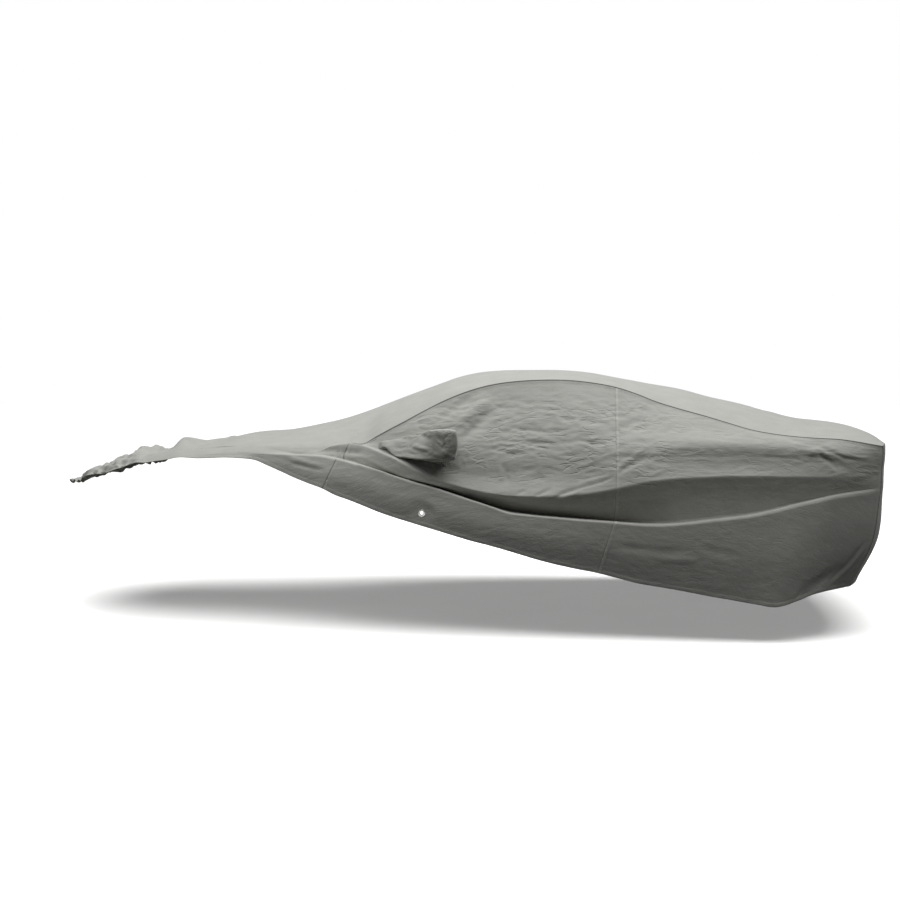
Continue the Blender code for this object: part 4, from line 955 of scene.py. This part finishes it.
# The quarter panels: one to each side, from the mid seam to the rear corner seam. The lap of the
# mid seam lies on them. Below their upper crest the cloth runs back in two long soft waves, and
# the flap curls in at the corner.
QUARTER_CREASES = {
    -1: [
        (-3, 12, (0.445, 0.996), (0.497, 0.981)),
        (-3, 12, (0.53, 0.929), (0.58, 0.922)),
        (-6, 17, (0.437, 0.776), (0.465, 0.801), (0.515, 0.827), (0.581, 0.867)),
        (4, 18, (0.445, 0.815), (0.50, 0.85), (0.55, 0.885)),
        (-6, 18, (1.263, 0.910), (1.370, 0.912), (1.479, 0.859), (1.60, 0.840)),
        (-5, 16, (1.355, 0.886), (1.417, 0.841), (1.462, 0.790)),
        (-4, 14, (1.213, 0.945), (1.295, 0.927), (1.43, 0.925)),
        (4, 18, (1.30, 0.885), (1.40, 0.870), (1.46, 0.83)),
        (-5, 11, (1.60, 0.470), (1.525, 0.372), (1.47, 0.321), (1.40, 0.252)),
        (4, 11, (1.60, 0.440), (1.53, 0.350), (1.47, 0.290)),
        (-4, 10, (1.62, 0.420), (1.56, 0.330), (1.53, 0.285)),
        (-4, 9, (1.285, 0.242), (1.255, 0.205)),
        (-3, 9, (1.31, 0.255), (1.295, 0.215)),
        (-3, 30, (0.42, 0.452), (0.655, 0.425), (0.765, 0.432)),
        (-3, 28, (0.82, 0.447), (0.992, 0.409)),
        (2.5, 25, (0.62, 0.395), (0.81, 0.385)),
    ],
    1: [
        (-6, 18, (0.47, 0.80), (0.56, 0.84), (0.66, 0.87)),
        (4, 18, (0.50, 0.84), (0.60, 0.88)),
        (-6, 18, (1.24, 0.90), (1.36, 0.90), (1.50, 0.85)),
        (-5, 16, (1.33, 0.87), (1.40, 0.82), (1.43, 0.78)),
        (-4, 14, (1.18, 0.94), (1.30, 0.92), (1.42, 0.93)),
        (-7, 20, (1.50, 0.38), (1.45, 0.31), (1.36, 0.25)),
        (-3, 30, (0.50, 0.46), (0.70, 0.44), (0.85, 0.45)),
    ],
}
quarter_cuts = np.concatenate([
    MID_SEAM_ALONG - margin[::-1], cuts_between(MID_SEAM_ALONG, CORNER_ALONG, DOOR_STEP, True, True)
])  # fmt: skip
points, below, to_hem = cover_grid(quarter_cuts, DOOR_FINENESS)
height = creased(points, below, to_hem, QUARTER_CREASES)
after_mid_seam = abs(quarter_cuts - MID_SEAM_ALONG)[:, None]
to_corner = (CORNER_ALONG - quarter_cuts)[:, None]
height *= ease(*CORNER_FADE, to_corner)
height += felled_seam(np.minimum(abs(below), after_mid_seam)) + felled_seam(to_corner, 0.0)
height += hem_fold(to_hem)
points += facing(points) * height[..., None]
# Painted shade in the seams' grooves, painted highlights on their doubled bands, strongest on the lap of the
# mid seam, and on the hem
painted_shading_values = painted_seam_shading(abs(below), **UPPER_SEAM_PAINTED_SHADE) * painted_seam_shading(to_corner)
painted_shading_values *= painted_seam_shading(after_mid_seam, band=1.13, **MID_SEAM_PAINTED_SHADE)
painted_shading_values += hem_painted_highlight(to_hem)
for side, word in SIDES:
    cells = np.zeros((len(quarter_cuts) - 1, points.shape[1] - 1), bool)
    cells[len(margin) :] = rows_from_middle(points) * side > TOP_LENGTH
    quarter = sew(f"quarter_cloth_{word}", points, cells, painted_shading_values)
    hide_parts(f"quarter_panel_{word}")
stitch_panels(points, slice(second + 3, -3), (second, second + 2, -3, -5))

# The tail panel: one piece across the back, from one rear corner seam to the other. It hangs
# straight from the upper seam and draws in under the tail, where the hem runs round.
TAIL_CREASES = [
    (-3, 26, (-0.66, 0.87), (-0.54, 0.80), (-0.47, 0.70)),
    (-3, 28, (0.64, 0.85), (0.55, 0.79), (0.46, 0.68)),
    (2.5, 45, (-0.36, 0.80), (-0.05, 0.77), (0.22, 0.72)),
    (-4, 26, (-0.55, 0.40), (-0.48, 0.33), (-0.45, 0.26)),
    (-4, 26, (0.56, 0.42), (0.50, 0.34), (0.44, 0.26)),
    (-3, 30, (-0.20, 0.60), (0.05, 0.55), (0.30, 0.58)),
]
TAIL_FINENESS = 1.2
TAIL_CUTS = 58  # on each side of the middle
TAIL_WAVES = np.array([0.25, 0.25, 0.15])
TAIL_WRINKLES = np.array([0.1, 0.10, 0.05])
TAIL_TOP_FADE = (0.0, 0.04)
from_corner = SEAM_STEPS / CORNER_OUT
shares = 1 - np.concatenate([from_corner, np.linspace(from_corner[-1], 1, TAIL_CUTS)[1:]])
shares = shares[::-1]
lines = np.stack([tail_line(high, shares) for high in TAIL_HIGH.values()], axis=1)
halves = [down_the_side(line, TAIL_FINENESS) for line in lines]
half = np.stack([points for points, _ in halves])[:, ::-1]
below = np.stack([places for _, places in halves])[:, ::-1]
below = np.concatenate([below[:0:-1], below])
points = np.concatenate([half[:0:-1] * (1, -1, 1), half]) - (0, 0, CROWN_HIGH)
to_hem = below[:, :1] - below
to_corner = (1 - abs(np.concatenate([-shares[:0:-1], shares])))[:, None] * CORNER_OUT
from_behind = points[..., 1:] + (0, CROWN_HIGH)
height = crease_height(from_behind, TAIL_CREASES) + 0.0014 * wrinkles(points, TAIL_WAVES, 31.7)
height += 0.0005 * ridges(points, TAIL_WRINKLES, 41.3, 4)
height *= ease(*CORNER_FADE, to_corner) * ease(*TAIL_TOP_FADE, below)
height += felled_seam(below, 0.0) + hem_fold(to_hem)
points += facing(points) * height[..., None]
# Painted shade in the seams' grooves, a painted highlight on the upper seam's band and on the hem
painted_shading_values = painted_seam_shading(below) * painted_seam_shading(to_corner, band=1.0) + hem_painted_highlight(to_hem)
cells = np.ones((points.shape[0] - 1, points.shape[1] - 1), bool)
tail_cloth = sew("tail_cloth", points, cells, painted_shading_values)
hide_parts("tail_panel")
stitch(points, [(slice(3, -3), row) for row in (2, -3, -5)])

# The side pockets: a soft bag sewn round the opening in each door panel, in the same cloth. It is
# drawn out into a wedge whose front runs into the panel, and its outer end is pressed flat.
POCKET_POINTS = 128
POCKET_ROWS = 44
POCKET_FLANGE = 0.010  # the rim that is sewn down on the door panel
RIM_HIGH = (2 * CLOTH_THICKNESS + 0.0003, 2 * CLOTH_THICKNESS + 0.0005)  # at its edge and its seam
RIM_STITCHED = 0.4  # the share of its width at which it is stitched down
POCKET_ROLL = (0.004, 0.010)  # how far in from the rim and how far out its first turn lies
POCKET_TIP = 0.004  # how much of the point at its end is left flat
POCKET_CALM = 0.02  # over this length from its seam the bag starts to wrinkle
POCKET_FLAT_PLACE = 3.0  # the pockets are cut from another stretch of the cloth
POCKET_WRINKLES = np.array([0.06, 0.05, 0.024])
POCKET_WAVES = np.array([0.12, 0.08, 0.06])
POCKET_CREASED_OUT = (0.80, 0.86)
# Painted shade along the pocket's seam, where the bag meets the door panel, and its width
RIM_PAINTED_SHADE, RIM_PAINTED_SHADE_WIDTH = 0.3, 0.004
SHARE_STRAIGHT = 0.6  # how straight the bag runs from corner to corner, against how roundly
# Five rings of eight corners of the bag, as (along, out, high): each from the front one, under the
# bag, round behind it and over it
POCKET = np.array([
    [
        (-0.680, 0.758, 0.893), (-0.630, 0.790, 0.852), (-0.470, 0.835, 0.838), (-0.345, 0.820, 0.845),
        (-0.330, 0.800, 0.900), (-0.345, 0.800, 0.955), (-0.480, 0.775, 0.957), (-0.620, 0.742, 0.928),
    ],
    [
        (-0.600, 0.785, 0.890), (-0.585, 0.822, 0.848), (-0.430, 0.900, 0.832), (-0.330, 0.900, 0.845),
        (-0.318, 0.890, 0.910), (-0.328, 0.880, 0.972), (-0.450, 0.825, 0.972), (-0.550, 0.772, 0.948),
    ],
    [
        (-0.515, 0.845, 0.900), (-0.505, 0.885, 0.845), (-0.400, 0.950, 0.836), (-0.325, 0.960, 0.848),
        (-0.312, 0.955, 0.915), (-0.320, 0.950, 0.982), (-0.405, 0.885, 0.984), (-0.485, 0.825, 0.966),
    ],
    [
        (-0.440, 0.932, 0.910), (-0.435, 0.942, 0.858), (-0.380, 0.965, 0.853), (-0.328, 0.972, 0.862),
        (-0.316, 0.982, 0.920), (-0.325, 0.988, 0.978), (-0.375, 0.975, 0.985), (-0.435, 0.930, 0.976),
    ],
    [
        (-0.395, 0.968, 0.915), (-0.392, 0.972, 0.895), (-0.378, 0.980, 0.890), (-0.360, 0.985, 0.895),
        (-0.355, 0.987, 0.915), (-0.360, 0.985, 0.938), (-0.378, 0.978, 0.942), (-0.393, 0.966, 0.938),
    ],
])  # fmt: skip
POCKET_CREASES = [
    (-9, 17, (-0.600, 0.950), (-0.560, 0.960), (-0.509, 0.955), (-0.450, 0.940)),
    (10, 17, (-0.630, 0.912), (-0.590, 0.912), (-0.533, 0.902), (-0.476, 0.892), (-0.440, 0.884)),
    (-7, 12, (-0.692, 0.900), (-0.655, 0.915)),
    (3, 10, (-0.575, 0.962), (-0.454, 0.966)),
    (-4, 10, (-0.580, 0.872), (-0.520, 0.862)),
    (3.5, 9, (-0.432, 0.960), (-0.424, 0.890)),
    (-3, 10, (-0.408, 0.925), (-0.380, 0.900), (-0.362, 0.925)),
    (4, 10, (-0.370, 0.880), (-0.345, 0.872)),
]
for side, word in SIDES:
    ring = np.concatenate([door_points[pocket_rings[side]], door_outward[pocket_rings[side]]], axis=1)
    ring = np.concatenate([ring, ring[:1]])
    lengths = run_along(ring[:, :3])
    even = np.linspace(0, lengths[-1], POCKET_POINTS + 1)[:-1]
    ring = np.stack([np.interp(even, lengths, column) for column in ring.T], axis=1)
    ring, outward = ring[:, :3], ring[:, 3:]
    middle = ring.mean(axis=0)
    away = (ring - middle) / np.linalg.norm(ring - middle, axis=1, keepdims=True)
    reach = np.ptp(ring, axis=0) / 2
    turn = np.arctan2((ring[:, 2] - middle[2]) / reach[2], (ring[:, 0] - middle[0]) / reach[0])
    loops = [
        ring + away * POCKET_FLANGE + outward * RIM_HIGH[0],
        ring + outward * RIM_HIGH[1],
        ring - away * POCKET_ROLL[0] + outward * POCKET_ROLL[1],
    ]
    corner_turns = np.radians(np.arange(-270, 271, 45))
    for corners in POCKET:
        closed = np.concatenate([corners[-2:], corners, corners[:3]]) * (1, side, 1) - (0, 0, CROWN_HIGH)
        straight = np.stack([np.interp(turn, corner_turns, column) for column in closed.T], axis=1)
        loops.append(straight * SHARE_STRAIGHT + smooth(turn, corner_turns, closed) * (1 - SHARE_STRAIGHT))
    end = loops[-1].mean(axis=0)
    loops = np.stack([*loops, np.broadcast_to(end, ring.shape)])
    knots = np.concatenate([[0], np.cumsum(np.linalg.norm(np.diff(loops, axis=0), axis=2).mean(axis=1))])
    at = np.concatenate([knots[:3], np.linspace(knots[2], knots[-1] - POCKET_TIP, POCKET_ROWS + 1)[1:]])
    bag = np.stack([smooth(at, knots, loops[:, k]) for k in range(POCKET_POINTS)], axis=1)
    normal = -facing(np.concatenate([bag[:, -1:], bag, bag[:, :1]], axis=1))[:, 1:-1]
    height = crease_height(bag[..., [0, 2]] + (0, CROWN_HIGH), POCKET_CREASES)
    height *= ease(*POCKET_CREASED_OUT, abs(bag[..., 1]))
    height += 0.0016 * ridges(bag, POCKET_WRINKLES, 51.9, 3.5)
    height += 0.002 * wrinkles(bag, POCKET_WAVES, 61.1)
    bag += normal * (height * ease(knots[1], knots[2] + POCKET_CALM, at)[:, None])[..., None]
    stitched = bag[0] * (1 - RIM_STITCHED) + bag[1] * RIM_STITCHED
    stitch_lines.append((stitched, normal[0]))
    number = np.arange(bag.shape[0] * POCKET_POINTS).reshape(bag.shape[:2])
    after = np.roll(number, -1, axis=1)
    sides = np.stack([number[:-1], after[:-1], after[1:], number[1:]], axis=-1).reshape(-1, 4)
    point = np.full(POCKET_POINTS, number.size)
    cap = np.stack([number[-1], after[-1], point], axis=1)
    flat_places = np.broadcast_arrays(even[None, :], at[:, None] + POCKET_FLAT_PLACE)
    flat_places = np.stack(flat_places, axis=-1).reshape(-1, 2)
    # Painted shade along the pocket's seam round the opening
    pocket_rim_painted_shade = 1 - RIM_PAINTED_SHADE * (1 - ease(0, RIM_PAINTED_SHADE_WIDTH, abs(at - knots[1])))
    painted_shading_values = np.repeat(pocket_rim_painted_shade, POCKET_POINTS)
    pocket = make_sheet(
        f"pocket_cloth_{word}",
        np.vstack([bag.reshape(-1, 3), bag[-1].mean(axis=0)]),
        [sides, cap],
        np.vstack([flat_places, flat_places[-1:]]),
        np.append(painted_shading_values, 1.0),
        outward=-1,
    )
    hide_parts(f"mirror_pocket_{word}")

# The eyelets: one in each door panel's lower flap, for a line to hold the cover down. Each is a
# ring of spun, plated metal, rolled over in front and crimped flat behind, with an open bore.
EYELET_BORE = 0.0081
EYELET_FRONT = (0.0123, 0.0042, 0.0008, 0.0027)  # radius, half width, half thickness, height
EYELET_BACK = (0.0113, 0.0032, 0.0005, -0.0007)
EYELET_WALL = 0.0008
EYELET_SIDES = 72
METAL_DARK = (0.46, 0.45, 0.42, 1.0)
METAL_LIGHT = (0.70, 0.69, 0.66, 1.0)
plated, tree, shader = new_material("plated_metal", {"Metallic": 1.0})
position = add_node(tree, "ShaderNodeTexCoord").outputs["Object"]
worn = noise_at(tree, position, 180.0, 4.0)
worn_gloss = add_node(tree, "ShaderNodeMapRange", {"To Min": 0.25, "To Max": 0.48})
tree.links.new(tinted(tree, worn, METAL_DARK, METAL_LIGHT), shader.inputs["Base Color"])
tree.links.new(worn, worn_gloss.inputs["Value"])
tree.links.new(worn_gloss.outputs["Result"], shader.inputs["Roughness"])
add_bumps(tree, shader, (noise_at(tree, position, 1400.0, 2.0), 0.15, 0.0001))


def flange(radius, half_width, half_thickness, height):
    """A rolled flange round the axis."""
    bpy.ops.object.select_all(action="DESELECT")
    bpy.ops.mesh.primitive_torus_add(
        major_radius=radius, minor_radius=half_width, major_segments=EYELET_SIDES, minor_segments=20,
        location=(0, 0, height),
    )  # fmt: skip
    bpy.ops.object.mode_set(mode="EDIT")
    bpy.ops.transform.resize(value=(1, 1, half_thickness / half_width), center_override=(0, 0, height))
    bpy.ops.object.mode_set(mode="OBJECT")
    return bpy.context.object


for side, word in SIDES:
    parts = [flange(*EYELET_FRONT), flange(*EYELET_BACK)]
    bpy.ops.object.select_all(action="DESELECT")
    bpy.ops.mesh.primitive_cylinder_add(
        vertices=EYELET_SIDES, radius=EYELET_BORE, end_fill_type="NOTHING",
        depth=EYELET_FRONT[3] - EYELET_BACK[3], location=(0, 0, (EYELET_FRONT[3] + EYELET_BACK[3]) / 2),
    )  # fmt: skip
    barrel = bpy.context.object
    wall = barrel.modifiers.new("Wall", "SOLIDIFY")
    wall.thickness, wall.offset = EYELET_WALL, 1
    bpy.ops.object.modifier_apply(modifier="Wall")
    for part in parts:
        part.select_set(True)
    bpy.ops.object.join()
    ring = bpy.context.object
    ring.name = ring.data.name = f"eyelet_ring_{word}"
    place, outward = eyelet_on(side)
    turned = Vector(outward).to_track_quat("Z", "Y").to_matrix().to_4x4()
    ring.matrix_world = Matrix.Translation(place) @ turned @ ring.matrix_world
    bpy.ops.object.transform_apply(location=True, rotation=True, scale=True)
    bpy.ops.object.shade_smooth()
    ring.data.materials.clear()
    ring.data.materials.append(plated)
    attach(ring, "root")
    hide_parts(f"eyelet_{word}")

# The sewing: lockstitch in spun polyester thread along every felled seam, the hem and the rims of
# the pockets. Each stitch stands on the outer face and goes down through the cloth at its ends.
STITCH_PITCH = 0.0075
STITCH_LENGTH = 0.0052
THREAD_RADIUS = 0.00045
STITCH_ARCH = np.array((-0.0003, 0.0003, -0.0003))
THREAD_DARK = (0.36, 0.36, 0.335, 1.0)
THREAD_LIGHT = (0.52, 0.52, 0.49, 1.0)
blocks = []
for line, outward in stitch_lines:
    lengths = run_along(line)
    starts = np.arange(STITCH_PITCH / 2, lengths[-1] - STITCH_LENGTH, STITCH_PITCH)
    at = starts[:, None] + STITCH_LENGTH * np.array((0.0, 0.5, 1.0))
    place = np.stack([np.interp(at, lengths, column) for column in line.T], axis=-1)
    upward = np.stack([np.interp(at, lengths, column) for column in outward.T], axis=-1)
    sideways = np.cross(upward, place[:, 2:] - place[:, :1])
    sideways /= np.linalg.norm(sideways, axis=-1, keepdims=True)
    place += upward * STITCH_ARCH[:, None]
    # The thread has three corners all round
    round_it = [upward, sideways * 0.87 - upward / 2, -sideways * 0.87 - upward / 2]
    blocks.append(np.stack([place + THREAD_RADIUS * part for part in round_it], axis=2).reshape(-1, 9, 3))
corners = np.concatenate(blocks)
one_stitch = [
    (0, 1, 4, 3), (1, 2, 5, 4), (2, 0, 3, 5), (3, 4, 7, 6), (4, 5, 8, 7), (5, 3, 6, 8), (2, 1, 0), (6, 7, 8),
]  # fmt: skip
faces = [[9 * k + corner for corner in face] for k in range(len(corners)) for face in one_stitch]
mesh = bpy.data.meshes.new("sewing_thread")
mesh.from_pydata(corners.reshape(-1, 3).tolist(), [], faces)
mesh.shade_smooth()
thread, tree, shader = new_material("polyester_thread", {"Roughness": 0.7, "Sheen Weight": 0.2})
position = add_node(tree, "ShaderNodeTexCoord").outputs["Object"]
thread_colour = tinted(tree, noise_at(tree, position, 60.0, 2.0), THREAD_DARK, THREAD_LIGHT)
tree.links.new(thread_colour, shader.inputs["Base Color"])
add_bumps(tree, shader, (noise_at(tree, position, 2600.0, 1.0), 0.4, 0.0002))
mesh.materials.append(thread)
stitches = bpy.data.objects.new("sewing_thread", mesh)
bpy.context.scene.collection.objects.link(stitches)
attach(stitches, "root")

# The studio: a plain pale floor that runs out to a plain pale wall of light, one large soft light
# overhead, and a wide soft light for the floor alone, so that it stays pale with a soft shadow.
FLOOR_SIZE = 60
FLOOR_DROP = 0.0005  # how far the floor lies below the level that the heights start from
FLOOR_DARK = (0.86, 0.86, 0.855, 1.0)
FLOOR_LIGHT = (0.90, 0.90, 0.895, 1.0)
bpy.ops.object.select_all(action="DESELECT")
bpy.ops.mesh.primitive_grid_add(
    x_subdivisions=12, y_subdivisions=12, size=FLOOR_SIZE, location=(0, 0, -CROWN_HIGH - FLOOR_DROP)
)
floor = bpy.context.object
floor.name = floor.data.name = "pale_floor"
bpy.ops.object.transform_apply(location=True, rotation=True, scale=True)
pale, tree, shader = new_material("pale_floor", {"Roughness": 0.95, "Specular IOR Level": 0.1})
position = add_node(tree, "ShaderNodeTexCoord").outputs["Object"]
speckle = tinted(tree, noise_at(tree, position, 3.0, 3.0), FLOOR_DARK, FLOOR_LIGHT)
tree.links.new(speckle, shader.inputs["Base Color"])
floor.data.materials.append(pale)
floor.visible_diffuse = False

world = bpy.data.worlds.new("pale_studio")
world.use_nodes = True
tree = world.node_tree
tree.nodes.clear()
seen = add_node(tree, "ShaderNodeBackground", {"Color": (1.0, 1.0, 1.0, 1.0), "Strength": 1.0})
fill = add_node(tree, "ShaderNodeBackground", {"Color": (1.0, 1.0, 0.98, 1.0), "Strength": 0.05})
which = add_node(tree, "ShaderNodeMixShader")
output = add_node(tree, "ShaderNodeOutputWorld")
tree.links.new(add_node(tree, "ShaderNodeLightPath").outputs["Is Camera Ray"], which.inputs[0])
tree.links.new(fill.outputs[0], which.inputs[1])
tree.links.new(seen.outputs[0], which.inputs[2])
tree.links.new(which.outputs[0], output.inputs["Surface"])
bpy.context.scene.world = world
bpy.context.scene.view_settings.view_transform = "Standard"

lit_floor = bpy.data.collections.new("lit_floor")
lit_floor.objects.link(floor)


def add_light(name, kind, energy, **settings):
    """Adds a light to the scene."""
    lamp = bpy.data.lights.new(name, kind)
    lamp.energy = energy
    for setting, value in settings.items():
        setattr(lamp, setting, value)
    light = bpy.data.objects.new(name, lamp)
    bpy.context.scene.collection.objects.link(light)
    return light


overhead = add_light("overhead", "AREA", 285, shape="RECTANGLE", size=8.0, size_y=6.0)
overhead.location = (0.0, -0.5, 2.6)
for light in (
    add_light("floor_light", "SUN", 3.2, angle=math.radians(70)),
    add_light("floor_fill", "SUN", 1.0, use_shadow=False),
):
    light.light_linking.receiver_collection = lit_floor

# The camera stands at the left side and sees the whole cover
view = bpy.data.cameras.new("camera")
view.sensor_width = 36
view.lens = 54.617
view.clip_end = 200
camera = bpy.data.objects.new("camera", view)
camera.location = (0.2515, -7.3153, 0.0684)
camera.rotation_euler = (math.pi / 2 - 0.0676, 0, 0.0938)
bpy.context.scene.collection.objects.link(camera)
bpy.context.scene.camera = camera
